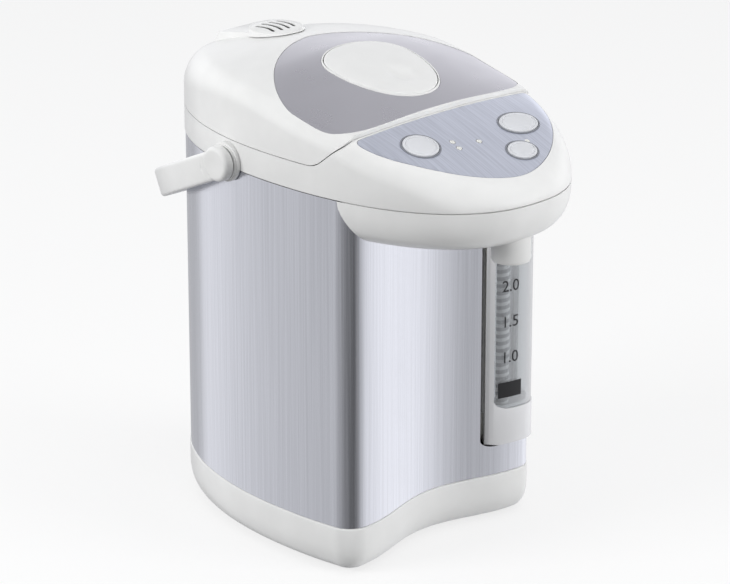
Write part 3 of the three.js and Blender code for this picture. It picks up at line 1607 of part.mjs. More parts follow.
function bailHandle() {
  const armOuterX = armInnerX + armThick;
  const outline = [...strapOutline(armOuterX, strapReach), ...strapOutline(armInnerX,
    strapReach - gripThick).reverse()];
  const strap = new THREE.ExtrudeGeometry(new THREE.Shape(outline), {
    depth: armWidth - strapEdge - strapEdge, bevelThickness: strapEdge, bevelSize: strapEdge,
      bevelOffset: -strapEdge,
    bevelSegments: 1,
  });
  strap.translate(0, 0, strapEdge - armWidth / 2);
  const rest = new THREE.Matrix4().makeTranslation(0, pivotY, pivotZ)
    .multiply(new THREE.Matrix4().makeRotationX(-THREE.MathUtils.degToRad(restDroop)));
  const rods = (radius, from, to, sides = roundSides) => [1, -1].map((side) => (
    crossRod(radius, Math.min(side * from, side * to), Math.max(side * from, side * to), pivotY, pivotZ,
      sides)));
  const hubs = rods(hubRadius, armInnerX, armOuterX + hubProud);
  const dishes = rods(hubRadius - hubRim, armOuterX, cutHigh);
  const bores = rods(pivotPinRadius + pivotPinGap, 0, armInnerX + pinHubReach + touchGap, smallSides);
  return part('bail_handle', cut(joined(oriented(strap, rest), ...hubs), ...dishes, ...bores), whiteGloss);
}

function handleBosses() {
  const body = dome(-touchGap, 0, collarSeamZ - bossCoverRadius - cutOverrun);
  [['right', 1], ['left', -1]].forEach(([name, side]) => {
    const rod = (radius, from, to, sides) => crossRod(radius, Math.min(side * from, side * to),
      Math.max(side * from, side * to),
      pivotY, pivotZ, sides);
    const cover = rod(bossCoverRadius, bossInnerX, bossOuterX - bossNeckWidth, roundSides);
    const neck = rod(bossNeckRadius, bossInnerX, bossOuterX, roundSides);
    const pin = rod(pivotPinRadius, bodyHalfWidth - pivotPinReach + touchGap, armInnerX + pinHubReach,
      smallSides);
    part(`${name}_handle_pivot`, joined(cut(joined(cover, neck), body), pin), whiteGloss);
  });
}

// Lid
function hump(growth, lower = 0) {
  const bottom = (halfX) => [
    new THREE.Vector3(halfX, humpFrontY - growth, humpFrontZ - humpSink - lower),
    new THREE.Vector3(halfX, humpBackFootY + growth, humpBackFootZ - lower),
    new THREE.Vector3(-halfX, humpBackFootY + growth, humpBackFootZ - lower),
    new THREE.Vector3(-halfX, humpFrontY - growth, humpFrontZ - humpSink - lower),
  ];
  const top = (halfX) => [
    new THREE.Vector3(halfX, humpFrontY - growth, humpFrontZ + growth),
    new THREE.Vector3(halfX, humpBackTopY + growth, humpBackTopZ + growth),
    new THREE.Vector3(-halfX, humpBackTopY + growth, humpBackTopZ + growth),
    new THREE.Vector3(-halfX, humpFrontY - growth, humpFrontZ + growth),
  ];
  const flare = (humpHalfX - humpTopHalfX) * (lower / humpSink);
  return loft([bottom(humpHalfX + flare + growth), top(humpTopHalfX + growth)]);
}

// A closed outline of two half ovals that meet at the widest place
function eggPlan(count, halfWidth, middleY, [frontReach, frontPower], [backReachY, backPower]) {
  const points = [];
  for (let i = 0; i < count; i += 1) {
    const angle = (Math.PI + Math.PI) * (i / count);
    const behind = Math.sin(angle) > 0;
    const exponent = 2 / (behind ? backPower : frontPower);
    const reach = behind ? backReachY : frontReach;
    points.push(new THREE.Vector2(halfWidth * power(Math.cos(angle), exponent),
      middleY + reach * power(Math.sin(angle), exponent)));
  }
  return points;
}

function leverPlan(growth) {
  const outline = eggPlan(leverSides, leverHalfX, leverY, [leverFrontReach, leverPower],
    [leverBackReach, leverPower]);
  return inset(outline, -growth);
}

function trimPlan(distance) {
  const outline = eggPlan(trimSteps + trimSteps, trimHalfWidth, trimMiddleY,
    [trimFrontReach, trimFrontPower], [trimBackReach, trimBackPower]);
  return inset(outline, distance);
}

const leverPinZ = crownZ(0, leverPinY) - leverPinDrop;
const wideCut = (x) => box(-x, x, lidCutFrontY, cutHigh, 0, lidCutTopZ);

function lidShell() {
  const outer = common(dome(0), lidRegion(0));
  const cavity = common(dome(mouldWall, 0, collarSeamZ, innerRows),
    box(-cutHigh, cutHigh, lidFrontY + mouldWall, cutHigh, 0, cutHigh));
  const crust = dome(mouldWall / 2);
  const wellRoom = prism(leverPlan(leverGap), wellFloorZ, cutHigh);
  const well = common(prism(leverPlan(leverGap + wellWall), wellFloorZ - wellFloor, cutHigh), crust);
  const bosses = lidScrewPlaces.map(([x, y]) => (
    common(post(lidBossRadius, x, y, innerCoverZ + innerCoverWall + touchGap, cutHigh, pinSides), crust)));
  const bores = lidScrewPlaces.map(([x, y]) => post(screwShankRadius + touchGap, x, y, 0,
    lidScrewTipZ + touchGap, pinSides));
  const rails = [1, -1].map((side) => {
    const at = (from, to) => [Math.min(side * from, side * to), Math.max(side * from, side * to)];
    const wallX = boltHalfX + boltGap;
    const wall = box(...at(wallX, wallX + boltGuideWall), boltTipY, boltBackY,
      boltBottomZ - boltGap - boltGuideWall, cutHigh);
    const ledge = box(...at(wallX - boltGuideWall - boltGap, wallX + boltGuideWall), boltTipY, boltBackY,
      boltBottomZ - boltGap - boltGuideWall, boltBottomZ - boltGap);
    return common(joined(wall, ledge), common(crust, outer));
  });
  const holders = [1, -1].map((side) => {
    const [from, to] = [side * (lugX + lugWidth + touchGap), side * (lugX + lugWidth + lugWidth)];
    return box(Math.min(from, to), Math.max(from, to), leverPinY - lugRadius, leverPinY + lugRadius,
      wellFloorZ - wellFloor / 2, leverPinZ + leverPinRadius + touchGap);
  });
  const pinEnd = lugX + lugWidth + lugWidth - touchGap;
  const pinBore = crossRod(leverPinRadius + touchGap / 2, -pinEnd, pinEnd, leverPinY, leverPinZ, pinSides);
  const trimRoom = cut(prism(trimPlan(0), collarSeamZ, cutHigh), dome(trimRecess));
  const boltRoom = box(-boltHalfX - boltGap, boltHalfX + boltGap, lidFrontY - cutOverrun, boltBackY,
    boltBottomZ - boltGap,
    boltTopZ + boltGap);
  const tongueRoom = box(-leverTongueHalfX - boltGap, leverTongueHalfX + boltGap,
    leverTongueY - leverTongueHalfY - boltGap,
    leverTongueY + leverTongueHalfY + tongueSlotGap, 0, cutHigh);
  const ventRoom = post(ventHoleRadius, 0, ventY, innerCoverZ + innerCoverWall + mouldWall, cutHigh,
    roundSides / 2);
  const humpRoom = common(hump(-mouldWall, humpSink), box(-cutHigh, cutHigh, humpFrontY, cutHigh, 0,
    cutHigh));
  const shell = joined(cut(outer, cavity), hump(0), well, ...bosses, ...rails);
  const open = cut(shell, wellRoom, trimRoom, boltRoom, tongueRoom, ventRoom, humpRoom,
    wideCut(earOuterX + earCutGap), ...bores);
  const rim = common(cut(prism(leverPlan(leverGap + bezelWidth), collarSeamZ, cutHigh),
    prism(leverPlan(leverGap), 0, cutHigh)),
    cut(dome(-bezelProud), dome(mouldWall)));
  return part('lid_shell', cut(joined(open, rim, ...holders), pinBore), whiteGloss);
}

function lidTrim() {
  const skin = cut(dome(trimRecess - trimWall), dome(trimRecess - touchGap / 2));
  const plate = common(skin, prism(trimPlan(trimGap), collarSeamZ, cutHigh));
  return part('lid_trim', cut(plate, prism(leverPlan(leverGap + bezelWidth + touchGap), 0, cutHigh)),
    lidGrey);
}

function lidLever() {
  const plate = common(prism(leverPlan(0), collarSeamZ, cutHigh), cut(dome(-leverProud), dome(leverSink)));
  const dent = new THREE.SphereGeometry(dentRadius, smallSides + smallSides, smallSides);
  const dentZ = crownZ(0, dentY) + leverProud + dentRadius - dentDepth;
  const lugs = [1, -1].map((side) => {
    const [from, to] = [side * lugX, side * (lugX + lugWidth)];
    const [low, high] = [Math.min(from, to), Math.max(from, to)];
    const web = box(low, high, leverPinY - lugRadius, leverPinY + lugRadius, leverPinZ,
      crownZ(0, leverPinY) - leverSink / 2);
    return joined(web, crossRod(lugRadius, low, high, leverPinY, leverPinZ, smallSides));
  });
  const stub = lugX + lugWidth + lugWidth - touchGap - touchGap;
  const stubs = [[lugX, stub], [-stub, -lugX]].map(([from, to]) => (
    crossRod(leverPinRadius, from, to, leverPinY, leverPinZ, pinSides)));
  const tongueTopZ = crownZ(0, leverTongueY) - leverSink / 2;
  const tongue = box(-leverTongueHalfX, leverTongueHalfX, leverTongueY - leverTongueHalfY,
    leverTongueY + leverTongueHalfY,
    tongueTopZ - leverTongueLength, tongueTopZ);
  return part('lid_lever', cut(joined(plate, ...lugs, ...stubs, tongue), placed(dent, 0, dentY, dentZ)),
    whiteGloss);
}

function coil(x, y, zMin, zMax, radius, wire, turns) {
  const points = [];
  const steps = turns * coilSteps;
  for (let i = 0; i <= steps; i += 1) {
    const angle = (Math.PI + Math.PI) * (i / coilSteps);
    const z = zMin + wire + (zMax - zMin - wire - wire) * (i / steps);
    points.push(new THREE.Vector3(x + radius * Math.cos(angle), y + radius * Math.sin(angle), z));
  }
  const section = new THREE.Shape(oval(wire, wire, wireSides));
  const curve = new THREE.CatmullRomCurve3(points);
  return oriented(new THREE.ExtrudeGeometry(section, { steps, extrudePath: curve, bevelEnabled: false }));
}

function leverSpring() {
  const topZ = crownZ(springX, springY) - leverSink;
  return part('lever_spring', coil(springX, springY, wellFloorZ + springEndGap, topZ - springEndGap,
    springRadius, springWire,
    springTurns), steel);
}

function latchBolt() {
  const bolt = box(-boltHalfX, boltHalfX, boltTipY, boltBackY - boltGap, boltBottomZ, boltTopZ);
  const slot = box(-leverTongueHalfX - boltGap, leverTongueHalfX + boltGap,
    leverTongueY - leverTongueHalfY - boltSlotFront,
    leverTongueY + leverTongueHalfY + boltGap, 0, cutHigh);
  const slope = crossPrism([[boltTipY - cutOverrun, boltTopZ + cutOverrun],
    [boltTipY - cutOverrun, boltBottomZ - cutOverrun],
    [boltTipY + boltSlope, boltBottomZ - touchGap]], -cutHigh, cutHigh);
  return part('latch_bolt', cut(bolt, slot, slope), whiteSatin);
}

function ventCap() {
  const lowZ = ventTopZ - ventSkirtDepth;
  const wall = ventCapWall;
  const shell = turned([
    [0, ventTopZ + ventCrown], [ventRadius / 2, ventTopZ + ventCrown * ventCrownShare],
      [ventRadius, ventTopZ],
    [ventSkirtRadius, lowZ], [ventSkirtRadius - wall, lowZ], [ventRadius - wall, ventTopZ - wall],
      [0, ventTopZ - wall],
  ], 0, ventY, roundSides);
  const plug = tube(ventHoleRadius - touchGap, ventHoleRadius - touchGap - wall, 0, ventY, lowZ - mouldWall,
    ventTopZ - wall / 2, roundSides / 2);
  const slots = [];
  for (let i = 0; i < ventSlots; i += 1) {
    const middle = (i - (ventSlots - 1) / 2) * ventSlotPitch;
    const points = [];
    for (let k = 0; k <= ventSlotSteps; k += 1) {
      const along = (k / ventSlotSteps) * 2 - 1;
      points.push([middle + ventSlotBow * along ** 2, ventY + ventSlotHalf * along]);
    }
    const outline = [...points.map(([x, y]) => new THREE.Vector2(x - ventSlotWidth / 2, y)),
      ...points.reverse().map(([x, y]) => new THREE.Vector2(x + ventSlotWidth / 2, y))];
    slots.push(prism(outline, lowZ, cutHigh));
  }
  const skirt = cut(shell, dome(-touchGap - touchGap), hump(touchGap, humpSink));
  return part('vent_cap', cut(joined(skirt, plug), ...slots), whiteGloss);
}

function lidInnerCover() {
  const plan = inset(headPlan, mouldWall + innerCoverGap);
  const topZ = innerCoverZ + innerCoverWall;
  const plate = common(prism(plan, innerCoverZ, topZ), lidRegion(-mouldWall - touchGap / 2));
  const knuckle = crossRod(knuckleRadius, -knuckleHalf, knuckleHalf, hingeY, hingeZ, smallSides);
  const web = box(-knuckleHalf, knuckleHalf, lidCutFrontY - mouldWall, hingeY, innerCoverZ, topZ);
  const shaped = joined(cut(plate, box(-earOuterX - earCutGap, earOuterX + earCutGap, lidCutFrontY, cutHigh,
    0, cutHigh)), knuckle, web);
  const bores = lidScrewPlaces.map(([x, y]) => post(screwShankRadius + touchGap, x, y, 0, cutHigh,
    pinSides));
  const pinBore = crossRod(hingePinRadius + hingePinGap, -cutHigh, cutHigh, hingeY, hingeZ, pinSides);
  const duct = post(ductRadius + touchGap, 0, ventY, 0, cutHigh);
  return part('lid_inner_cover', cut(shaped, ...bores, pinBore, duct), whiteSatin);
}

function lidScrews() {
  lidScrewPlaces.forEach(([x, y], i) => part(`lid_screw_${i + 1}`, joined(
    post(screwHeadRadius, x, y, innerCoverZ - touchGap - lidScrewHead, innerCoverZ - touchGap, pinSides),
    post(screwShankRadius, x, y, innerCoverZ - touchGap - touchGap, lidScrewTipZ, pinSides),
  ), steel));
}

// Inner plate over the water, with its gasket and the steam duct
function innerLidPlate() {
  const w = plateWall;
  const plate = turned([
    [0, plateRimZ + plateRaise], [plateRaiseRadius, plateRimZ + plateRaise],
      [plateRaiseRadius + plateRaise, plateRimZ],
    [plateRadius, plateRimZ], [plateRadius, plateRimZ - w], [plateRaiseRadius + plateRaise - w / 2,
      plateRimZ - w],
    [plateRaiseRadius - w / 2, plateRimZ + plateRaise - w], [0, plateRimZ + plateRaise - w],
  ], 0, containerY, roundSides);
  return part('inner_lid_plate', cut(plate, post(ductBore, 0, ventY, 0, cutHigh)), steel);
}

function innerLidGasket() {
  const w = gasketLipWall;
  const inner = plateRadius + touchGap;
  const gasket = turned([
    [inner - gasketGrip, plateRimZ + touchGap], [inner, plateRimZ + touchGap],
      [inner, plateRimZ - plateWall - touchGap],
    [inner - gasketGrip, plateRimZ - plateWall - touchGap], [inner - gasketGrip, plateRimZ - plateWall - w],
    [gasketOuter - w, gasketBottomZ], [gasketOuter, gasketBottomZ], [inner + w, plateRimZ],
      [inner + w, gasketTopZ],
    [inner - gasketGrip, gasketTopZ],
  ], 0, containerY, roundSides);
  return part('inner_lid_gasket', gasket, siliconeClear);
}

function steamDuct() {
  const bottomZ = plateRimZ + plateRaise + touchGap;
  const duct = tube(ductRadius, ductBore, 0, ventY, bottomZ, ductTopZ);
  return part('steam_duct', duct, siliconeClear);
}

// The whole pot, piece by piece
basePlinth();
bottomCover();
rubberFeet();
bottomScrews();
outerJacket();
collarHead();
hingePin();
beakLowerCover();
spoutNozzle();
controlPanel();
buttons.forEach(pushButton);
lightGuide();
controlBoard();
gaugeFrame();
gaugePane();
gaugeTray();
gaugeTube();
tipValve();
outletPipe();
riserHose();
innerContainer();
containerSeal();
mouthRing();
containerInsulation();
supportFrame();
heaterPlate();
thermostat();
thermalFuse();
motorCan();
driveRotor();
pumpHousing();
pumpImpeller();
pumpCover();
inletSleeve();
powerBoard();
inletSocket();
inletPins();
handleBosses();
bailHandle();
lidShell();
lidTrim();
lidLever();
leverSpring();
latchBolt();
ventCap();
lidInnerCover();
lidScrews();
innerLidPlate();
innerLidGasket();
steamDuct();

// The origin goes under the middle of the whole pot
const extent = new THREE.Box3().setFromObject(model);
model.position.set(0, -(extent.min.y + extent.max.y) / 2, 0);

export default pot;
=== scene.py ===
# Looks of the electric thermo pot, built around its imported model.
import json
import math
from contextlib import contextmanager

import bmesh
import bpy
import numpy as np
from mathutils import Matrix, Vector


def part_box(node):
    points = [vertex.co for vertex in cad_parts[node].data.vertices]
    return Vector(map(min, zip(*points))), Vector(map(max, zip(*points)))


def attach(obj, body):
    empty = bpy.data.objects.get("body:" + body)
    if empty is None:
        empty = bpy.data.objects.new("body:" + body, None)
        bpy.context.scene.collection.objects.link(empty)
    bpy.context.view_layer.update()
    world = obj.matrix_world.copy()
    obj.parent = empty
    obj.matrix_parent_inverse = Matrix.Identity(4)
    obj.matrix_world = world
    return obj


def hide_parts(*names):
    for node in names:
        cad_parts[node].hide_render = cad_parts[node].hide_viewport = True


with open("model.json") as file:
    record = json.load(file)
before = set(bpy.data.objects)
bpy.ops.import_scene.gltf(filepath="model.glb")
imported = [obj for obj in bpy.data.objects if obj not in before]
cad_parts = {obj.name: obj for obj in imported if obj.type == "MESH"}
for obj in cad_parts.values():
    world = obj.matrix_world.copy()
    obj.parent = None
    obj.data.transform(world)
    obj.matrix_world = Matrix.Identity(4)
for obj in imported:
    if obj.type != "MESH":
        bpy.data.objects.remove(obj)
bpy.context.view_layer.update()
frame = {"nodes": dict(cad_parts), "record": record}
NODES = frame["nodes"]
TAU = 2 * math.pi
QUARTER = math.pi / 2

# Sizes in millimetres, in the pot's own drawing frame, as in the part's source
BASE_BOTTOM, BASE_SEAM, COLLAR_SEAM, LID_SEAM = 2.6, 34.0, 263.0, 282.5
SEAM, TOUCH = 0.4, 0.3
HALF_WIDTH, WIDEST_Y, BACK_REACH, BEAK_REACH = 94.2, -36.3, 158.9, 148.9
BACK_ROUND, BEAK_ROUND = 2.04, 2.3
CORNER_R, CORNER_Y, FRONT_Y = 16.3, -104.9, -90.4
OVERHANG, SHEET, WALL = 0.6, 0.8, 2.6
PROUD = 2.4
HIGH = 400.0
CONTAINER_Y = 14.0
FOOT_FRONT_Y = -78.0
PIVOT_Y, PIVOT_Z, PIN_BORE = 9.0, 267.0, 3.85
HINGE_Y, HINGE_Z, HINGE_BORE = 116.5, 286.5, 1.85
SPOUT_Y, VENT_Y, LEVER_HINGE_Y, LATCH_Y = -163.0, 60.0, -15.0, -70.0
LATCH_HALF, LATCH_LOW, LATCH_HIGH = 9.5, 300.0, 303.5
INLET_Z = 60.0
HINGE_ROOM_HALF, HINGE_ROOM_Y, HUMP_Y = 26.0, 107.6, 62.0
PLINTH_INSET, PLINTH_RISE = 9.5, 17.0
CROWN_Z = 331.6
LID_STEP_Y, LID_STEP_Z, LID_SLOPE_Y = -97.0, 301.0, -75.0

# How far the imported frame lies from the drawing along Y, measured at a front foot
low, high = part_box("rubber_foot_1")
SHIFT = (low.y + high.y) / 2 * 1000 - FOOT_FRONT_Y


def power(value, exponent):
    return np.sign(value) * np.abs(value) ** exponent


def arc(steps):
    return QUARTER * np.linspace(0, 1, steps + 1)


def raised(points, z):
    return np.column_stack([points, np.broadcast_to(z, len(points))])


# Outlines seen from above
def mirrored(half):
    half = np.array(half, float)
    half[0, 0] = half[-1, 0] = 0
    left = half[1:-1][::-1] * (-1, 1)
    return np.vstack([half, left])


def back_arc(steps):
    points = []
    for t in arc(steps):
        across, along = power(np.sin(t), 2 / BACK_ROUND), power(np.cos(t), 2 / BACK_ROUND)
        points.append((HALF_WIDTH * across, WIDEST_Y + BACK_REACH * along))
    return points


def beak_half_width(y):
    reach = min((WIDEST_Y - y) / BEAK_REACH, 1)
    return HALF_WIDTH * (1 - reach**BEAK_ROUND) ** (1 / BEAK_ROUND)


def head_outline(steps=44):
    half = back_arc(steps)
    for t in QUARTER * np.arange(1, steps + 1) / steps:
        across, along = power(np.cos(t), 2 / BEAK_ROUND), power(np.sin(t), 2 / BEAK_ROUND)
        half.append((HALF_WIDTH * across, WIDEST_Y - BEAK_REACH * along))
    return resampled(mirrored(half), 4 * steps)


# From the flank at y_start round the front corner and along the front to x_end, in three numbers of steps
def corner_line(y_start, x_end, flank, corner, front):
    start = CORNER_Y + CORNER_R
    centre = beak_half_width(start) - CORNER_R
    points = [(beak_half_width(y), y) for y in np.linspace(y_start, start, flank + 1)]
    for t in QUARTER * np.arange(1, corner + 1) / corner:
        points.append((centre + CORNER_R * math.cos(t), start - CORNER_R * math.sin(t)))
    for s in np.arange(1, front + 1) / front:
        x = centre + (x_end - centre) * s
        rise = (1 - math.cos(math.pi * (1 - x / centre))) / 2
        points.append((x, CORNER_Y + (FRONT_Y - CORNER_Y) * rise))
    return points


def body_outline(steps=44):
    return mirrored(back_arc(steps) + corner_line(WIDEST_Y, 0, 12, 16, 24)[1:])


# Spreads points evenly along a closed outline, starting at its first point
def resampled(outline, count):
    closed = np.vstack([outline, outline[:1]])
    length = np.concatenate([[0], np.cumsum(np.hypot(*np.diff(closed, axis=0).T))])
    at = np.linspace(0, length[-1], count + 1)[:-1]
    return np.column_stack([np.interp(at, length, closed[:, k]) for k in (0, 1)])


def area(outline):
    x, y = outline.T
    return 0.5 * np.sum(x * np.roll(y, -1) - y * np.roll(x, -1))


# Moves each point of a closed outline inwards by a distance, or by one distance for each point
def inset(outline, distance):
    turn = 1 if area(outline) > 0 else -1
    back = outline - np.roll(outline, 1, axis=0)
    ahead = np.roll(outline, -1, axis=0) - outline
    first = np.column_stack([back[:, 1], -back[:, 0]]) / np.maximum(np.hypot(*back.T), 1e-9)[:, None]
    second = np.column_stack([ahead[:, 1], -ahead[:, 0]]) / np.maximum(np.hypot(*ahead.T), 1e-9)[:, None]
    normal = first + second
    normal /= np.hypot(*normal.T)[:, None]
    amount = np.broadcast_to(distance, len(outline))
    stretch = amount / np.maximum(np.sum(normal * first, axis=1), 0.5)
    return outline - normal * (stretch * turn)[:, None]


BODY = body_outline()
HEAD = head_outline()
JACKET = inset(BODY, OVERHANG)


# Crown of the lid and the head. It falls to the rear, to the front and to the sides, each with a reach,
# a depth and an exponent. The shoulder's reach and fall go from the rear's value to the beak's.
FALL_SPAN = 100.0
REAR_FALL, REAR_POWER, FRONT_FALL, FRONT_POWER = 14.3, 2.4, 23.0, 1.45
SIDE_FALL, BEAK_SIDE_FALL, SIDE_POWER, SIDE_FROM, SIDE_TO = 13.2, 2.2, 1.94, -48.0, -148.0
SHOULDER_REACH, SHOULDER_FALL, SHOULDER_SPAN = (9.5, 14.5), (11.0, 16.5), (-70.0, -130.0)
REAR_REACH_MORE, REAR_FALL_MORE, REAR_TO = 6.0, 8.0, -90.0


def fallen(distance, reach, depth, exponent, softness=0.12):
    return depth * (np.hypot(distance / reach, softness) ** exponent - softness**exponent)


def blended(y, rear_y, front_y, rear, front):
    share = np.clip((rear_y - y) / (rear_y - front_y), 0, 1)
    return rear + (front - rear) * share * share * (3 - 2 * share)


def crown(x, y):
    behind = fallen(y, FALL_SPAN, REAR_FALL, REAR_POWER)
    ahead = fallen(y, FALL_SPAN, FRONT_FALL, FRONT_POWER)
    drop = blended(y, SIDE_FROM, SIDE_TO, SIDE_FALL, BEAK_SIDE_FALL)
    return CROWN_Z - np.where(y > 0, behind, ahead) - fallen(x, HALF_WIDTH, drop, SIDE_POWER)


# The solid under the head's outside, at a depth in from it, with its top sunk a little more
def dome(depth, sink=0.0, bottom=COLLAR_SEAM, rows=18, shoulder=9, foot=0.0):
    outer = inset(HEAD, depth)
    y = outer[:, 1]
    behind = blended(-y, 0, REAR_TO, 0, 1)
    reach = np.maximum(blended(y, *SHOULDER_SPAN, *SHOULDER_REACH) + REAR_REACH_MORE * behind - depth, 1)
    height = np.maximum(blended(y, *SHOULDER_SPAN, *SHOULDER_FALL) + REAR_FALL_MORE * behind - depth, 1)

    def top(p):
        return crown(*p.T) - sink - depth

    rings = [raised(outer, bottom)]
    if foot:
        rounds = [(foot * (1 - math.sin(t)), foot * (1 - math.cos(t))) for t in arc(3)]
        rings = [raised(inset(outer, inward), bottom + upward) for inward, upward in rounds]
    rise = np.minimum(height, top(outer) - COLLAR_SEAM - 1)
    for t in QUARTER * np.linspace(0, 1, shoulder + 1):
        ring = inset(outer, reach * (1 - math.cos(t)))
        rings.append(raised(ring, top(ring) - rise * (1 - math.sin(t))))
    inner = inset(outer, reach)
    for share in 1 - np.arange(1, rows) / rows:
        near = inner * share
        rings.append(raised(near, top(near)))
    rings.append(np.array([[0, 0, top(np.zeros((1, 2)))[0]]]))
    return loft(rings)


def placed(name, data):
    item = bpy.data.objects.new(name, data)
    bpy.context.scene.collection.objects.link(item)
    return item


def evaluated(item):
    return bpy.data.meshes.new_from_object(item.evaluated_get(bpy.context.evaluated_depsgraph_get()))


# Opens a mesh for editing and writes it back
@contextmanager
def edited(mesh):
    bm = bmesh.new()
    bm.from_mesh(mesh)
    yield bm
    bm.to_mesh(mesh)
    bm.free()


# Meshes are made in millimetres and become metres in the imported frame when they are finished
def mesh_of(verts, faces):
    mesh = bpy.data.meshes.new("work")
    mesh.from_pydata([tuple(v) for v in verts], [], faces)
    with edited(mesh) as bm:
        bmesh.ops.remove_doubles(bm, verts=bm.verts, dist=1e-5)
        bmesh.ops.recalc_face_normals(bm, faces=bm.faces)
        if bm.calc_volume(signed=True) < 0:
            bmesh.ops.reverse_faces(bm, faces=bm.faces)
    return mesh


# A solid through rings of points. Its ends are closed, or come to a point.
def loft(rings, closed=False):
    rings = [np.asarray(r, float) for r in rings]
    starts = np.concatenate([[0], np.cumsum([len(r) for r in rings])])
    faces = []
    pairs = list(zip(range(len(rings)), list(range(1, len(rings))) + ([0] if closed else [])))
    for k, m in pairs:
        a, b, n = starts[k], starts[m], max(len(rings[k]), len(rings[m]))
        for i in range(n):
            j = (i + 1) % n
            quad = [a + i, a + j] if len(rings[k]) > 1 else [a]
            quad += [b + j, b + i] if len(rings[m]) > 1 else [b]
            faces.append([int(q) for q in quad])
    if not closed:
        for k in (0, len(rings) - 1):
            if len(rings[k]) > 2:
                faces.append([int(starts[k]) + i for i in range(len(rings[k]))])
    return mesh_of(np.vstack(rings), faces)


def prism(outline, bottom, top):
    return loft([raised(outline, bottom), raised(outline, top)])


def cross_prism(points, x0, x1):
    return loft([[(x, y, z) for y, z in points] for x in (x0, x1)])


def box(x0, x1, y0, y1, z0, z1):
    return prism(np.array([(x0, y0), (x1, y0), (x1, y1), (x0, y1)]), z0, z1)


def circle(radius, x, y, sides):
    t = TAU * np.arange(sides) / sides
    return np.column_stack([x + radius * np.cos(t), y + radius * np.sin(t)])


def oval(half_x, half_y, sides=48):
    t = TAU * np.arange(sides) / sides
    return np.column_stack([half_x * np.cos(t), half_y * np.sin(t)])


# A solid of revolution about an upright axis at x, y
def turned(profile, x, y, sides=72):
    rings = [raised(circle(r, x, y, sides), z) if r else np.array([[x, y, z]]) for r, z in profile]
    return loft(rings, closed=bool(profile[0][0] and profile[-1][0]))


# The profile of a plain shaft or bore
def shaft(radius, start, end):
    return [(0, start), (radius, start), (radius, end), (0, end)]


def post(radius, x, y, z0, z1, sides=40):
    return turned(shaft(radius, z0, z1), x, y, sides)


# A solid of revolution about the level axis through the handle's pivots, or another level axis along X
def rod(profile, y=PIVOT_Y, z=PIVOT_Z, sides=64):
    t = TAU * np.arange(sides) / sides
    rings = []
    for radius, x in profile:
        if radius:
            rings.append(np.column_stack([np.full(sides, x), y + radius * np.cos(t), z + radius * np.sin(t)]))
        else:
            rings.append(np.array([[x, y, z]]))
    return loft(rings, closed=bool(profile[0][0] and profile[-1][0]))


def combined(first, tools, operation):
    mesh = first
    for tool in tools:
        a, b = placed("a", mesh), placed("b", tool)
        modifier = a.modifiers.new("join", "BOOLEAN")
        modifier.operation = operation
        modifier.solver = "MANIFOLD"
        modifier.object = b
        mesh = evaluated(a)
        for item in (a, b):
            bpy.data.objects.remove(item)
        if not len(mesh.vertices):
            raise RuntimeError(f"{operation} left nothing")
    return mesh


def cut(first, *tools):
    return combined(first, tools, "DIFFERENCE")


def joined(first, *tools):
    return combined(first, tools, "UNION")


def common(first, *tools):
    return combined(first, tools, "INTERSECT")


def moved(mesh, matrix):
    mesh = mesh.copy()
    mesh.transform(matrix)
    return mesh


# Materials. Noise mostly lies in NOISE_SPAN, which is stretched over each range of colour or gloss.
NOISE_SPAN = (0.3, 0.7)
BUMP_DEPTH = 0.0002
STRIPE_PITCH = 0.0052


# Sets a node's inputs, in order or by name with _ for a space, to values or to other nodes' outputs
def fed(tree, node, *ordered, **named):
    pairs = list(zip(node.inputs, ordered))
    pairs += [(node.inputs[name.replace("_", " ")], source) for name, source in named.items()]
    for socket, source in pairs:
        if isinstance(source, bpy.types.NodeSocket):
            tree.links.new(source, socket)
        else:
            socket.default_value = source
    return node


def added(tree, kind, *ordered, **named):
    return fed(tree, tree.nodes.new("ShaderNode" + kind), *ordered, **named)


def shader(name):
    material = bpy.data.materials.new(name)
    material.use_nodes = True
    tree = material.node_tree
    return material, tree, tree.nodes["Principled BSDF"]


def linear(value):
    return tuple(c / 12.92 if c <= 0.04045 else ((c + 0.055) / 1.055) ** 2.4 for c in value)


def grain(tree, scale, stretch, detail=3.0, turn=(0, 0, 0)):
    place = added(tree, "TexCoord").outputs["Object"]
    mapped = added(tree, "Mapping", Vector=place, Scale=stretch, Rotation=turn).outputs["Vector"]
    return added(tree, "TexNoise", Vector=mapped, Scale=scale, Detail=detail).outputs["Fac"]


def ramp(tree, source, low, high, span=NOISE_SPAN):
    start, end = span
    node = added(tree, "MapRange", Value=source, From_Min=start, From_Max=end, To_Min=low, To_Max=high)
    return node.outputs["Result"]


def tinted(tree, source, dark, light, span=NOISE_SPAN):
    node = added(tree, "ValToRGB", source)
    for element, at, colour in zip(node.color_ramp.elements, span, (dark, light)):
        element.position = at
        element.color = (*linear(colour), 1)
    return node.outputs["Color"]


def shades(colour, spread):
    return [c - spread for c in colour], [min(c + spread, 1) for c in colour]


def axes_of(tree, space):
    return added(tree, "SeparateXYZ", added(tree, "TexCoord").outputs[space]).outputs


def worked_out(tree, operation, *terms):
    node = tree.nodes.new("ShaderNodeMath")
    node.operation = operation
    return fed(tree, node, *terms).outputs["Value"]


def mixed(tree, *sources):
    return added(tree, "MixShader", *sources).outputs["Shader"]


def mixed_colour(tree, factor, first, second):
    node = tree.nodes.new("ShaderNodeMix")
    node.data_type = "RGBA"
    return fed(tree, node, Factor=factor, A=first, B=second).outputs["Result"]


def bumped(tree, source, strength):
    return added(tree, "Bump", Height=source, Strength=strength, Distance=BUMP_DEPTH).outputs["Normal"]


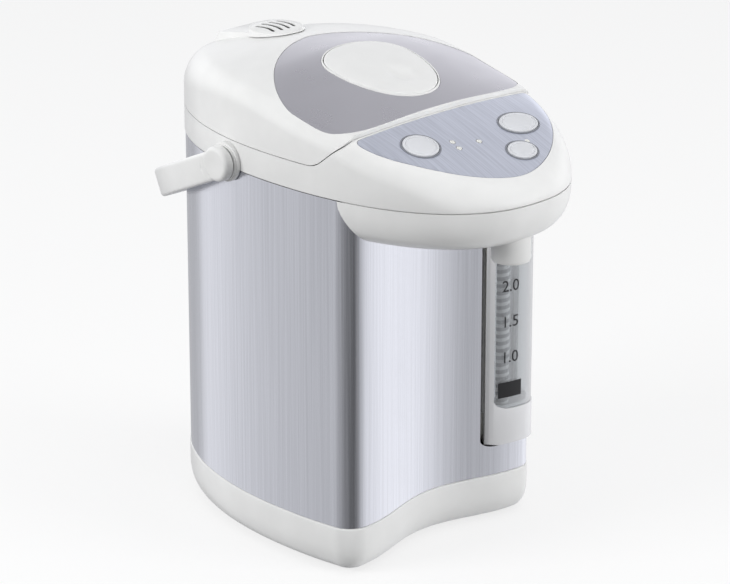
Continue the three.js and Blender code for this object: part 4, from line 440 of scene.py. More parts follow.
# Moulded plastic: faint mottling of the colour and of the gloss, and a fine skin
def plastic(name, colour, roughness, spread=0.012, scale=900.0, bump=0.05, coat=0.0):
    material, tree, bsdf = shader(name)
    mottle = grain(tree, 35.0, (1, 1, 1))
    skin = bumped(tree, grain(tree, scale, (1, 1, 1), 2.0), bump)
    tint = tinted(tree, mottle, *shades(colour, spread))
    gloss = ramp(tree, mottle, roughness - 0.03, roughness + 0.03)
    fed(tree, bsdf, Base_Color=tint, Roughness=gloss, Normal=skin, Coat_Weight=coat, Coat_Roughness=0.12)
    return material


# Brushed metal: long fine lines in one direction, in the colour, the gloss and the surface
def brushed(name, colour, roughness, stretch, turn=(0, 0, 0), spread=0.03, metal=1.0, bump=0.12):
    material, tree, bsdf = shader(name)
    lines = grain(tree, 1.0, stretch, 4.0, turn)
    tint = tinted(tree, lines, *shades(colour, spread), (0.35, 0.65))
    gloss = ramp(tree, lines, roughness - 0.05, roughness + 0.05)
    fed(tree, bsdf, Base_Color=tint, Roughness=gloss, Normal=bumped(tree, lines, bump), Metallic=metal)
    return material


# Clear plastic, which lets light through without bending it
def clear(name, tint):
    material, tree, bsdf = shader(name)
    through = added(tree, "BsdfTransparent", Color=(*tint, 1)).outputs["BSDF"]
    haze = ramp(tree, grain(tree, 300.0, (1, 1, 1)), 0.04, 0.09)
    gloss = added(tree, "BsdfGlossy", Roughness=haze).outputs["BSDF"]
    facing = added(tree, "LayerWeight", Blend=0.42).outputs["Facing"]
    edge = ramp(tree, facing, 0.06, 0.9, (0.0, 0.8))
    fed(tree, tree.nodes["Material Output"], Surface=mixed(tree, edge, through, gloss))
    tree.nodes.remove(bsdf)
    return material


# The sight tube: pale, with slanting bands that wind round it
def wound(name, centre):
    material, tree, bsdf = shader(name)
    axes = axes_of(tree, "Object")
    dx = worked_out(tree, "SUBTRACT", axes["X"], centre[0])
    dy = worked_out(tree, "SUBTRACT", axes["Y"], centre[1])
    turn = worked_out(tree, "ARCTAN2", dy, dx)
    height = worked_out(tree, "MULTIPLY", axes["Z"], TAU / STRIPE_PITCH)
    wave = worked_out(tree, "SINE", worked_out(tree, "SUBTRACT", height, turn))
    level = ramp(tree, wave, 0, 1, (-1, 1))
    bands = tinted(tree, level, (0.68, 0.68, 0.69), (0.96, 0.96, 0.96), (0.35, 0.7))
    fed(tree, bsdf, Base_Color=bands, Roughness=0.25)
    return material


WHITE = plastic("white_gloss_plastic", (0.925, 0.925, 0.92), 0.32, coat=0.25)
SATIN = plastic("white_satin_plastic", (0.90, 0.90, 0.895), 0.42)
CAP = plastic("button_caps", (0.855, 0.86, 0.875), 0.4)
# Painted shade: a dark material for the disc and the fillings that stand for the shade inside the vent's
# slots
PAINTED_SHADE = plastic("painted_slot_shade", (0.13, 0.13, 0.135), 0.7)
GREY = plastic("grey_moulding", (0.62, 0.63, 0.64), 0.5)
DARK = plastic("black_moulding", (0.10, 0.10, 0.11), 0.45)
RUBBER = plastic("black_rubber", (0.14, 0.14, 0.14), 0.75, scale=500.0, bump=0.3)
SILICONE = plastic("milky_silicone", (0.86, 0.86, 0.84), 0.5)
RING = plastic("button_ring", (0.50, 0.51, 0.54), 0.4)
LAMP = plastic("lamp_lens", (0.90, 0.90, 0.88), 0.2)
INK = plastic("black_ink", (0.09, 0.09, 0.10), 0.5)
BOARD = plastic("circuit_board", (0.16, 0.42, 0.27), 0.5, spread=0.03)
FELT = plastic("fibre_felt", (0.82, 0.79, 0.72), 0.9, spread=0.05, scale=260.0, bump=0.6)
LID_GREY = brushed(
    "lavender_insert", (0.795, 0.79, 0.815), 0.3, (30, 30, 30), spread=0.004, metal=0.9, bump=0.004
)
PANEL = brushed(
    "brushed_panel", (0.865, 0.88, 0.93), 0.34, (900, 25, 25), (0, 0, math.radians(28)), metal=0.9
)
JACKET_STEEL = brushed("brushed_jacket", (0.90, 0.905, 0.93), 0.2, (900, 900, 6), spread=0.02, bump=0.05)
SILVER = brushed("gauge_silver", (0.91, 0.91, 0.915), 0.22, (60, 60, 20), spread=0.01, metal=0.45, bump=0.01)
STEEL = brushed("plain_steel", (0.84, 0.84, 0.84), 0.3, (5, 5, 420), spread=0.008, bump=0.01)
DARK_STEEL = brushed("dark_steel", (0.50, 0.50, 0.51), 0.42, (60, 60, 60), spread=0.02, bump=0.02)
BRASS = brushed("brass", (0.80, 0.66, 0.38), 0.33, (200, 200, 200), spread=0.03)
MAGNET = brushed("magnet", (0.34, 0.35, 0.37), 0.5, (200, 200, 200), metal=0.6)
PANE = clear("clear_pane", (0.93, 0.945, 0.955))
TUBE_X, TUBE_Y = 65.0, CORNER_Y + OVERHANG + 9.5
WOUND = wound("wound_tube", (TUBE_X / 1000, (TUBE_Y + SHIFT) / 1000))
SLOT_LOOKS = {
    "white_gloss": WHITE, "white_satin": SATIN, "grey_plastic": GREY, "lid_grey": LID_GREY,
    "panel_blue_grey": PANEL, "jacket_steel": JACKET_STEEL, "gauge_silver": SILVER, "steel": STEEL,
    "dark_steel": DARK_STEEL, "rubber_black": RUBBER, "silicone": SILICONE, "clear_plastic": PANE,
    "board_green": BOARD, "black_plastic": DARK, "brass": BRASS, "felt": FELT, "magnet_grey": MAGNET,
}
SLOT_OF = {row["node"]: row["material_slot"] for row in frame["record"]["subparts"]}
BODY_OF = {node: body for body, nodes in frame["record"]["behaviour"]["bodies"].items() for node in nodes}

for name, node in NODES.items():
    node.data.materials.clear()
    node.data.materials.append(SLOT_LOOKS[SLOT_OF[name]])


# Puts a finished mesh into the scene as a piece that rides on a body
def piece(name, mesh, node, look=None, replaces=True, sharp=32.0, bevel=0.0):
    mesh = mesh.copy()
    mesh.name = name
    item = placed(name, mesh)
    if bevel:
        modifier = item.modifiers.new("edges", "BEVEL")
        modifier.width = bevel
        modifier.segments = 3
        modifier.limit_method = "ANGLE"
        modifier.angle_limit = math.radians(40)
        mesh = evaluated(item)
        item.modifiers.clear()
        item.data = mesh
    mesh.transform(Matrix.Diagonal((0.001, 0.001, 0.001, 1)) @ Matrix.Translation((0, SHIFT, 0)))
    mesh.polygons.foreach_set("use_smooth", [True] * len(mesh.polygons))
    mesh.set_sharp_from_angle(angle=math.radians(sharp))
    mesh.materials.clear()
    mesh.materials.append(look or SLOT_LOOKS[SLOT_OF[node]])
    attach(item, BODY_OF[node])
    if replaces:
        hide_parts(node)
    return item


def body_prism(distance, bottom, top):
    return prism(inset(JACKET, distance), bottom, top)


# A solid round the pivots' axis on the side s, from a profile of radii and distances from the middle
def side_rod(s, profile, **more):
    return rod([(radius, s * x) for radius, x in profile], **more)


def pin_bores(near=82.0, far=120.0):
    return [side_rod(s, shaft(PIN_BORE, near, far)) for s in (1, -1)]


# Base
def plinth(wall, bottom, top, edge=0.0):
    rings = []
    if bottom < BASE_BOTTOM:
        rings.append(raised(inset(BODY, PLINTH_INSET + wall), bottom))
    for t in arc(10):
        distance, z = wall + PLINTH_INSET * (1 - math.sin(t)), BASE_BOTTOM + PLINTH_RISE * (1 - math.cos(t))
        rings.append(raised(inset(BODY, distance), z))
    for t in arc(4) if edge else [0.0]:
        rings.append(raised(inset(BODY, wall + edge * (1 - math.cos(t))), top - edge * (1 - math.sin(t))))
    return loft(rings)


def lip(bottom, top):
    outer = SHEET + TOUCH
    return cut(body_prism(outer, bottom, top), body_prism(outer + 2, bottom - 4, top + 4))


shell = cut(plinth(0, BASE_BOTTOM, BASE_SEAM, 1.0), plinth(3, BASE_BOTTOM - 4, BASE_SEAM + 4))
piece("base_shell", joined(shell, lip(BASE_SEAM - 2, BASE_SEAM + 7)), "base_plinth")

SCREWS = [(74, -50), (-74, -50), (58, 58), (-58, 58)]
FEET = [(46, FOOT_FRONT_Y), (-46, FOOT_FRONT_Y), (46, 70), (-46, 70)]
cover = prism(inset(BODY, 12.8), 2.9, 5.3)
cover = cut(cover, *[post(8.3, x, y, 0, 4.1) for x, y in FEET], *[post(3.7, x, y, 0, 4.8) for x, y in SCREWS])
cover = joined(cover, *[box(x - 1, x + 1, -50 + abs(x) / 3, 60 - abs(x) / 3, 4.0, 9.0) for x in (-30, 0, 30)])
piece("bottom_plate", cover, "bottom_cover")
for i, (x, y) in enumerate(FEET):
    foot = turned([(0, 0), (7.2, 0), (7.8, 0.3), (8, 0.8), (8, 3.8), (0, 3.8)], x, y)
    piece(f"foot_{i + 1}", foot, f"rubber_foot_{i + 1}")
for i, (x, y) in enumerate(SCREWS):
    head = turned([(0, 3.2), (2.9, 3.2), (3.4, 3.7), (3.4, 4.5), (1.5, 4.5), (1.5, 14), (0, 14)], x, y)
    cross = [box(x - a, x + a, y - b, y + b, 3.0, 4.0) for a, b in ((2, 0.4), (0.4, 2))]
    piece(f"base_screw_{i + 1}", cut(head, *cross), f"bottom_screw_{i + 1}")


# Gauge on the front corner
GAUGE_BOTTOM, GAUGE_TOP, GAUGE_LEFT, GAUGE_FLANK_Y = 56.0, 231.5, 43.5, -80.0
WINDOW_INSET, WINDOW_BOTTOM, WINDOW_TOP = 2.3, 81.5, 227.5
GAUGE_SWELL, TRAY_DEPTH = 2.7, 15.0
PRINT_HALF, PRINT_GAP = 0.06, 0.12
NUMERAL_SIZE, NUMERAL_X = 11.6, 54.5
NUMERALS = (("2.0", 166.9), ("1.5", 141.2), ("1.0", 115.4))
MARK_X, MARK_Z, MARK_WIDTH, MARK_HEIGHT = 52.6, 90.0, 19.0, 11.2
CORNER = np.array(corner_line(GAUGE_FLANK_Y, GAUGE_LEFT, 10, 22, 22))


# The gauge's line from the flank round the corner to the front, proud of the body and swollen in the middle
def gauge_line(proud):
    ahead = np.vstack([CORNER[1:], CORNER[-1:]])
    back = np.vstack([CORNER[:1], CORNER[:-1]])
    normal = np.column_stack([back[:, 1] - ahead[:, 1], ahead[:, 0] - back[:, 0]])
    normal /= np.hypot(*normal.T)[:, None]
    normal *= np.where(normal[:, 0] - normal[:, 1] > 0, 1, -1)[:, None]
    swelling = np.sin(math.pi * np.arange(len(CORNER)) / (len(CORNER) - 1)) ** 0.7
    return CORNER + normal * (proud - OVERHANG + GAUGE_SWELL * swelling)[:, None]


def gauge_band(outer, inner):
    return prism(np.vstack([gauge_line(outer), gauge_line(inner)[::-1]]), 20, 260)


# A solid that cuts the gauge's line from the corner's diagonal, with rounded lower corners
def diagonal_window(growth, bottom, top, radius):
    half = math.sqrt(0.5)
    u = (CORNER[:, 0] + CORNER[:, 1]) * half
    left, right = u[-1] - growth, u[0] + growth
    points = []
    for cu, start in ((left + radius, math.pi), (right - radius, -QUARTER)):
        for t in start + arc(8):
            points.append((cu + radius * math.cos(t), bottom + radius + radius * math.sin(t)))
    points += [(right, top), (left, top)]
    return loft([[((p + d) * half, (p - d) * half, z) for p, z in points] for d in (84, HIGH)])


def gauge_opening(growth):
    return diagonal_window(growth, GAUGE_BOTTOM - growth, GAUGE_TOP + growth, 5 + growth)


def gauge_window(growth):
    return diagonal_window(growth - WINDOW_INSET, WINDOW_BOTTOM - growth, WINDOW_TOP + growth, 7 + growth)


FLANGE_HALF_X, FLANGE_HALF_Z, SOCKET_HALF_X, SOCKET_HALF_Z = 25.0, 17.0, 22.0, 14.0


def inlet_box(half_x, half_z, from_y):
    return box(-half_x, half_x, from_y, HIGH, INLET_Z - half_z, INLET_Z + half_z)


# Jacket: a seamless sheet with the gauge's opening, the inlet's opening and the pivots' bores
sheet = cut(body_prism(0, BASE_SEAM + SEAM, COLLAR_SEAM - SEAM), body_prism(SHEET, 20, 280))
inlet_room = inlet_box(SOCKET_HALF_X + TOUCH, SOCKET_HALF_Z + TOUCH, 40)
piece("jacket_sheet", cut(sheet, inlet_room, gauge_opening(1), *pin_bores()), "outer_jacket")

frame_band = cut(common(gauge_band(0.5, -1.7), gauge_opening(0)), gauge_window(0))
piece("gauge_surround", frame_band, "gauge_frame", bevel=0.5)
piece("gauge_cover", common(gauge_band(-0.1, -1.5), gauge_window(-0.3)), "gauge_pane")


def tray_plan(proud):
    flank, left = CORNER[0], CORNER[-1]
    inner = [(left[0], left[1] + TRAY_DEPTH), (flank[0] - TRAY_DEPTH, flank[1])]
    return np.vstack([gauge_line(proud), inner])


ledge = cut(common(gauge_band(-1.9, -3.2), gauge_window(1.0)), gauge_window(-2.1))
tray = common(prism(tray_plan(-2.0), 0, COLLAR_SEAM), gauge_window(3))
tray_room = common(prism(inset(tray_plan(3.2), 1.4), 0, COLLAR_SEAM), gauge_window(1.6))
tray = cut(tray, tray_room, post(4.9, TUBE_X, TUBE_Y, 0, HIGH))
piece("gauge_back", joined(tray, ledge), "gauge_tray", look=plastic("gauge_grey", (0.90, 0.90, 0.905), 0.4))
sight = cut(post(4.6, TUBE_X, TUBE_Y, 74, 240), post(3.2, TUBE_X, TUBE_Y, 60, 260))
piece("sight_tube", sight, "gauge_tube", look=WOUND)

# Numbers on the gauge, and a bare dark mark at its lowest level
PANE_LINE = gauge_line(-0.1 + PRINT_GAP)
PANE_LENGTH = np.concatenate([[0], np.cumsum(np.hypot(*np.diff(PANE_LINE, axis=0).T))])


# Bends a flat mesh onto the pane, with its left edge at x_left and its foot at the height z
def on_pane(mesh, x_left, z):
    start = np.interp(x_left, PANE_LINE[::-1][:, 0], PANE_LENGTH[::-1])
    ahead = np.gradient(PANE_LINE, PANE_LENGTH, axis=0)
    for vertex in mesh.vertices:
        s = start - vertex.co.x
        x, y = (np.interp(s, PANE_LENGTH, PANE_LINE[:, k]) for k in (0, 1))
        nx, ny = -np.interp(s, PANE_LENGTH, ahead[:, 1]), np.interp(s, PANE_LENGTH, ahead[:, 0])
        if nx - ny < 0:
            nx, ny = -nx, -ny
        depth = vertex.co.z
        vertex.co = (x + nx * depth, y + ny * depth, z + vertex.co.y)
    return mesh


def numeral(text, size):
    curve = bpy.data.curves.new("numeral", "FONT")
    curve.body, curve.size, curve.extrude, curve.resolution_u = text, size, PRINT_HALF, 6
    item = placed("numeral", curve)
    mesh = evaluated(item)
    bpy.data.objects.remove(item)
    with edited(mesh) as bm:
        bmesh.ops.remove_doubles(bm, verts=bm.verts, dist=1e-4)
    return mesh


def printed(name, mesh):
    piece(name, mesh, "gauge_pane", look=INK, replaces=False)


for text, z in NUMERALS:
    printed("number_" + text.replace(".", "_"), on_pane(numeral(text, NUMERAL_SIZE), NUMERAL_X, z))
mark = box(0, MARK_WIDTH, 0, MARK_HEIGHT, -PRINT_HALF, PRINT_HALF)
with edited(mark) as bm:
    level = [e for e in bm.edges if abs(e.verts[0].co.x - e.verts[1].co.x) > 1]
    bmesh.ops.subdivide_edges(bm, edges=level, cuts=10)
printed("low_mark", on_pane(mark, MARK_X, MARK_Z))


# Rounds the corner of two straight lines, leaving each at a distance from the corner
def filleted(before, corner, after, distance, steps=6):
    before, corner, after = (np.array(p, float) for p in (before, corner, after))
    start = corner + (before - corner) / np.hypot(*(before - corner)) * distance
    end = corner + (after - corner) / np.hypot(*(after - corner)) * distance
    s = np.linspace(0, 1, steps + 1)[:, None]
    return (1 - s) ** 2 * start + 2 * s * (1 - s) * corner + s**2 * end


LID_BOW = 3.2
PANEL_HALF, PANEL_BACK_Y, PANEL_REACH, PANEL_BOW, PANEL_ROUND = 79.7, -98.9, 74.3, 2.9, 1.75


# Lid region: a level seam, a slope to the front corner and an upright front that bows forwards
def lid_region(growth):
    def section(x, shift):
        y = LID_STEP_Y - shift
        step, foot = (y, LID_STEP_Z), (LID_SLOPE_Y, LID_SEAM)
        corners = [filleted((y, HIGH), step, foot, 4.0), filleted(step, foot, (0, LID_SEAM), 7.0)]
        corners = np.vstack(corners + [[(HIGH, LID_SEAM), (HIGH, HIGH), (y, HIGH)]])
        return [(x, a, b) for a, b in inset(corners, -growth)]

    middle = [section(80 * s, LID_BOW * (1 - s * s)) for s in np.linspace(-1, 1, 33)]
    return loft([section(-HIGH, 0), *middle, section(HIGH, 0)])


def panel_plan(distance, steps=60):
    points = []
    for t in math.pi * np.linspace(0, 1, steps + 1):
        across, along = power(math.cos(t), 2 / PANEL_ROUND), power(math.sin(t), 2 / PANEL_ROUND)
        points.append((PANEL_HALF * across, PANEL_BACK_Y - PANEL_REACH * along))
    for s in np.linspace(-1, 1, 31)[1:-1]:
        points.append((PANEL_HALF * s, PANEL_BACK_Y - PANEL_BOW * (1 - s * s)))
    return inset(rounded(resampled(np.array(points), 240), 3.0), distance)


# Softens the corners of a closed outline of evenly spaced points
def rounded(outline, radius):
    spacing = np.hypot(*(outline[1] - outline[0]))
    for _ in range(int((radius / spacing) ** 2 * 2) + 1):
        outline = (np.roll(outline, 1, axis=0) + 2 * outline + np.roll(outline, -1, axis=0)) / 4
    return outline


# An outline about the line x = 0 whose front and back halves have their own reach and exponent
def egg_plan(half, middle, front, front_power, back, back_power, count):
    t = TAU * np.arange(count) / count
    behind = np.sin(t) > 0
    exponent = 2 / np.where(behind, back_power, front_power)
    reach = np.where(behind, back, front)
    return np.column_stack([half * power(np.cos(t), exponent), middle + reach * power(np.sin(t), exponent)])


LEVER = resampled(egg_plan(35.4, -33.6, 49, 2.1, 27, 2.1, 160), 160)
TRIM = rounded(resampled(egg_plan(88, -49, 49.4, 5.5, 76.8, 1.57, 400), 320), 1.6)


def lever_plan(growth):
    return inset(LEVER, -growth)


def matrix_of(axes, place):
    matrix = Matrix.Identity(4)
    for k, axis in enumerate(axes):
        matrix.col[k][:3] = axis
    matrix.translation = place
    return matrix


# Frames that stand on the head's sloping top, with local Z along the surface's normal
def head_frame(x, y):
    step = 0.3
    sx = float(crown(x + step, y) - crown(x - step, y)) / (2 * step)
    sy = float(crown(x, y + step) - crown(x, y - step)) / (2 * step)
    up = Vector((-sx, -sy, 1)).normalized()
    across = Vector((1, 0, sx)).normalized()
    return matrix_of((across, up.cross(across), up), (x, y, float(crown(x, y)) - PROUD))


# Each button with the place of its middle and its half width and half depth, then the lamps' places
BUTTONS = [
    ("reboil_button", -45.5, -125.1, 12.6, 11.6),
    ("dispense_button", 40.1, -129.9, 15.4, 10.6),
    ("unlock_button", 19.0, -153.7, 11.4, 8.6),
]
LAMPS = [(-21.5, -130.1), (-22.1, -136.8), (-3.2, -136.2)]
SMALL_LAMP = (30.2, -147.4)
DECK_FOOT = -6.75


def framed(matrix, levels, closed=False):
    return moved(loft([raised(outline, z) for outline, z in levels], closed), matrix)


# Cutters for the holes that the buttons and the lamps stand in
def deck_holes():
    holes = [(x, y, oval(a + SEAM, b + SEAM)) for _, x, y, a, b in BUTTONS]
    holes += [(x, y, oval(2.2, 2.2, 32)) for x, y in LAMPS]
    return [framed(head_frame(x, y), [(outline, DECK_FOOT), (outline, 6)]) for x, y, outline in holes]


def hinge_rod(profile, sides):
    return rod(profile, HINGE_Y, HINGE_Z, sides)


def hinge_room(top):
    return box(-HINGE_ROOM_HALF, HINGE_ROOM_HALF, HINGE_ROOM_Y, HIGH, 0, top)


# Head: the collar round the lid, the deck under it and the beak's upper half
def hinge_ears():
    radius, foot = 8.0, 279.6
    profile = [(HINGE_Y + radius, foot)]
    for t in math.pi * np.linspace(0, 1, 17):
        profile.append((HINGE_Y + radius * math.cos(t), HINGE_Z + radius * math.sin(t)))
    profile.append((HINGE_Y - radius, foot))
    ears = [cross_prism(profile, *ends) for ends in ((9.4, 25.2), (-25.2, -9.4))]
    bore = hinge_rod(shaft(HINGE_BORE, -22.6, 22.6), 24)
    return [cut(common(ear, dome(0)), bore) for ear in ears]


outer = cut(dome(0, PROUD, foot=0.8), lid_region(0.6))
cavity = cut(dome(WALL, PROUD, COLLAR_SEAM - 4, rows=6), lid_region(SEAM + 2.5))
head = joined(cut(outer, cavity), *hinge_ears())
recess = cut(prism(panel_plan(0), COLLAR_SEAM, HIGH), dome(1.5, PROUD))
catch = box(-LATCH_HALF, LATCH_HALF, -104.1, LID_STEP_Y, LATCH_LOW, LATCH_HIGH)
mouth = post(77, 0, CONTAINER_Y, 0, HIGH, 96)
head = cut(head, recess, mouth, catch, *deck_holes(), *pin_bores())
piece("collar_and_beak", head, "collar_head", sharp=26)
pin = hinge_rod([(0, -22.3), (1.2, -22.3), (1.5, -22), (1.5, 22), (1.2, 22.3), (0, 22.3)], 32)
piece("hinge_rod", pin, "hinge_pin")


# Beak cover: a bowl under the head's front, closed at the back by the jacket
def bowl(wall, top, inward=26.0, depth=30.0, roundness=2.5):
    rings = [raised(inset(HEAD, wall), top)] if top > COLLAR_SEAM - SEAM else []
    for t in arc(14):
        distance = wall + (inward - wall) * (1 - power(math.cos(t), 2 / roundness))
        z = COLLAR_SEAM - SEAM - (depth - wall) * power(math.sin(t), 2 / roundness)
        rings.append(raised(inset(HEAD, distance), z))
    return loft(rings)


under = cut(bowl(0, 0), bowl(WALL, COLLAR_SEAM + 4))
under = cut(under, body_prism(-SEAM, 0, HIGH), box(-HIGH, HIGH, CORNER_Y + CORNER_R - 3.4, HIGH, 0, HIGH),
            post(13.3, 0, SPOUT_Y, 0, HIGH, 64))
piece("beak_underside", under, "beak_lower_cover")
spout = turned([
    (4.2, 252), (8.8, 252), (12.6, 247), (13, 245.6), (13, 221.4), (12.9, 220), (12.5, 219.2), (12, 219),
    (11.4, 219.2), (11.2, 219.8), (11.4, 244.4), (4.2, 246),
], 0, SPOUT_Y)
piece("spout_skirt", spout, "spout_nozzle")

# Control panel with its buttons and lamps
plate = common(cut(dome(0, PROUD), dome(1.2, PROUD)), prism(panel_plan(0.35), COLLAR_SEAM, HIGH))
plate = cut(plate, *deck_holes())
piece("panel_plate", plate, "control_panel", sharp=24)
for name, x, y, a, b in BUTTONS:
    matrix = head_frame(x, y)
    rim = [(oval(a - d, b - d), z) for d, z in (
        (0, -2.2), (0, 0.5), (0.15, 0.8), (0.5, 1.0), (1.5, 1.05), (1.75, 0.9), (1.95, 0.7),
    )]
    for share in (1.0, 0.94, 0.85, 0.7, 0.5, 0.25):
        rim.append((oval((a - 2.2) * share, (b - 2.2) * share), 0.9 + 1.05 * math.sqrt(1 - share**2)))
    stem = framed(matrix, [(oval(3, 3, 24), -7.7), (oval(3, 3, 24), 0)])
    cap = joined(framed(matrix, rim + [(np.zeros((1, 2)), 1.95)]), stem)
    piece(name + "_cap", cap, name, look=CAP)
    ring = []
    for t in TAU * np.arange(12) / 12:
        d, z = -0.55 + 0.7 * math.cos(t), 0.05 + 0.42 * math.sin(t)
        ring.append((oval(a + 1.5 + d, b + 1.5 + d, 64), z))
    band = framed(matrix, ring, closed=True)
    piece(name + "_ring", band, "control_panel", look=RING, replaces=False)


def lens_of(place, profile):
    levels = [(oval(r, r, 32) if r else np.zeros((1, 2)), z) for r, z in profile]
    return framed(head_frame(*place), levels)


guide = [lens_of(place, [(1.9, -13.2), (1.9, 0.1), (1.5, 0.3), (0.8, 0.42), (0, 0.45)]) for place in LAMPS]
bridge = np.array([(-12.5, -6), (12.5, -6), (12.5, 6), (-12.5, 6)])
bar_frame = head_frame((LAMPS[0][0] + LAMPS[2][0]) / 2, (LAMPS[0][1] + LAMPS[1][1]) / 2)
bar = framed(bar_frame, [(bridge, -7.95), (bridge, -6.45)])
piece("lamp_lenses", joined(bar, *guide), "light_guide", look=LAMP)
lens = lens_of(SMALL_LAMP, [(1.7, -0.2), (1.7, 0.25), (1.2, 0.5), (0, 0.6)])
piece("small_lens", lens, "control_panel", look=LAMP, replaces=False)


# Lid
def hump(growth, lower=0.0):
    flare = 2.5 * lower / 9
    outline = []
    for half, z0, z1, y0, y1 in (
        (19 + flare + growth, 320.5 - lower, 303 - lower, HUMP_Y - growth, 110 + growth),
        (16.5 + growth, 329.5 + growth, 322.6 + growth, HUMP_Y - growth, 101 + growth),
    ):
        outline.append([(half, y0, z0), (half, y1, z1), (-half, y1, z1), (-half, y0, z0)])
    return loft(outline)


def beveled(mesh, width):
    with edited(mesh) as bm:
        bmesh.ops.bevel(bm, geom=bm.edges[:], offset=width, segments=3, profile=0.5, affect="EDGES")
    return mesh


# An outline laid on the crown, with a rise above it
def on_crown(outline, rise):
    return raised(outline, crown(*outline.T) + rise)


lid_room = common(dome(WALL, rows=6), box(-HIGH, HIGH, LID_STEP_Y + WALL, HIGH, 0, HIGH))
lid = cut(common(dome(0), lid_region(0)), lid_room)
well = common(prism(lever_plan(2.2), 304.6, HIGH), dome(1.3))
trim_room = cut(prism(TRIM, COLLAR_SEAM, HIGH), dome(1.5))
lid = joined(lid, beveled(hump(0), 0.5), well)
latch_way = box(-LATCH_HALF, LATCH_HALF, -110, -58, LATCH_LOW, LATCH_HIGH)
tongue_way = box(-3.5, 3.5, LATCH_Y - 2.5, LATCH_Y + 5.5, 0, HIGH)
vent_way = post(15, 0, VENT_Y, 289.8, HIGH, 48)
hump_room = common(hump(-WALL, 9), box(-HIGH, HIGH, HUMP_Y, HIGH, 0, HIGH))
lid = cut(lid, prism(lever_plan(0.6), 306, HIGH), trim_room, latch_way, tongue_way, vent_way, hump_room,
          hinge_room(296.5))
BEZEL = [
    (0.6, -2.6), (0.6, 0.1), (0.75, 0.4), (1.05, 0.5), (1.35, 0.42), (1.6, 0.15), (1.7, -0.2), (1.7, -2.6),
]
lid = joined(lid, loft([on_crown(lever_plan(distance), z) for distance, z in BEZEL], closed=True))
piece("lid_cover", lid, "lid_shell", sharp=26)

insert = common(cut(dome(0.3), dome(1.35)), prism(inset(TRIM, 0.35), COLLAR_SEAM, HIGH))
piece("lid_insert", cut(insert, prism(lever_plan(1.95), 0, HIGH)), "lid_trim", sharp=24)


# The lever's edge as distances in from its outline and heights over the crown, its middle and its thumb dent
LEVER_EDGE = [(1.6, -2.6), (0.5, -2.3), (0, -1.6), (0, 0.0), (0.2, 0.35), (0.6, 0.6), (1.2, 0.65)]
LEVER_MIDDLE_Y = -40.0
DENT_X, DENT_Y, DENT_HALF_X, DENT_HALF_Y, DENT_DEPTH, DENT_POWER = 3.0, -57.0, 7.6, 9.8, 3.0, 2.4
LUG_RADIUS, LUG_DROP = 2.8, 5.2


def lever_top(x, y):
    dent = np.hypot((x - DENT_X) / DENT_HALF_X, (y - DENT_Y) / DENT_HALF_Y)
    return crown(x, y) - DENT_DEPTH * np.exp(-(dent**DENT_POWER))


rings = [on_crown(lever_plan(-distance), z) for distance, z in LEVER_EDGE]
distance, proud = LEVER_EDGE[-1]
centre = np.array([0, LEVER_MIDDLE_Y])
for share in np.linspace(0.985, 0.02, 46):
    outline = centre + (lever_plan(-distance) - centre) * share
    rings.append(raised(outline, lever_top(*outline.T) + proud))
rings.append(np.array([[0, LEVER_MIDDLE_Y, float(lever_top(0, LEVER_MIDDLE_Y)) + proud]]))
lever = loft(rings)
hinge_top = float(crown(0, LEVER_HINGE_Y))
pin_z = hinge_top - LUG_DROP
lugs = []
for near, far in ((9, 12), (-12, -9)):
    back, front = LEVER_HINGE_Y - LUG_RADIUS, LEVER_HINGE_Y + LUG_RADIUS
    lugs.append(box(near, far, back, front, pin_z, hinge_top - 0.8))
    lugs.append(rod(shaft(LUG_RADIUS, near, far), LEVER_HINGE_Y, pin_z, 24))
tongue_top = float(crown(0, LATCH_Y)) - 0.9
lugs.append(box(-3, 3, LATCH_Y - 2, LATCH_Y + 2, tongue_top - 17.4, tongue_top))
piece("lever_cap", joined(lever, *lugs), "lid_lever", sharp=30)

# Vent: a cap with a fine groove near its edge and four curved slots, with painted shade under and in them: a
# dark disc below the slots and dark fillings in them stand for the shade inside
SLOT_PITCH, SLOT_HALF, SLOT_BOW = 6.4, 1.45, 1.6
SLOT_REACHES = (8.0, 9.5, 9.5, 8.0)


def vent_slot(i, steps=13, end_steps=9):
    middle = (i - 1.5) * SLOT_PITCH + SLOT_BOW / 2
    path = [(middle - SLOT_BOW * s * s, VENT_Y + SLOT_REACHES[i] * s) for s in np.linspace(-1, 1, steps)]
    left = [(x - SLOT_HALF, y) for x, y in path]
    right = [(x + SLOT_HALF, y) for x, y in path][::-1]
    turn = np.linspace(0, 1, end_steps)[1:-1]
    tip, tail = (
        [(x + SLOT_HALF * math.cos(t), y + SLOT_HALF * math.sin(t)) for t in angles]
        for (x, y), angles in ((path[-1], math.pi * (1 - turn)), (path[0], -math.pi * turn))
    )
    return prism(np.array(left + tip + right + tail), 310, HIGH)


skirt = turned([
    (0, 331.95), (6, 331.85), (12, 331.55), (16.6, 331.2), (17, 331.0), (17.3, 330.85), (17.6, 331.0),
    (18.2, 331.0), (18.9, 330.75), (19.25, 330.2), (20.6, 320), (18.8, 320), (17.5, 329.2), (16, 330.4),
    (12.9, 330.8), (0, 331.0),
], 0, VENT_Y, 96)
skirt = cut(skirt, dome(-0.6), hump(0.3, 9))
plug = cut(post(14.7, 0, VENT_Y, 317.4, 330, 48), post(12.9, 0, VENT_Y, 310, 340, 48))
slots = [vent_slot(i) for i in range(len(SLOT_REACHES))]
piece("vent_top", cut(joined(skirt, plug), *slots), "vent_cap", sharp=28)
# Painted shade: a dark disc under the slots and dark fillings in them, standing for the shade inside the
# slots
slot_shade_fill = turned([(0, 331.4), (6, 331.3), (12, 331.0), (16, 330.7), (16, 330.0), (0, 330.0)], 0, VENT_Y, 48)
slot_shade = joined(post(12.7, 0, VENT_Y, 329.2, 330.6, 48), *[common(slot_shade_fill, slot) for slot in slots])
piece("vent_painted_shade", slot_shade, "vent_cap", look=PAINTED_SHADE, replaces=False)


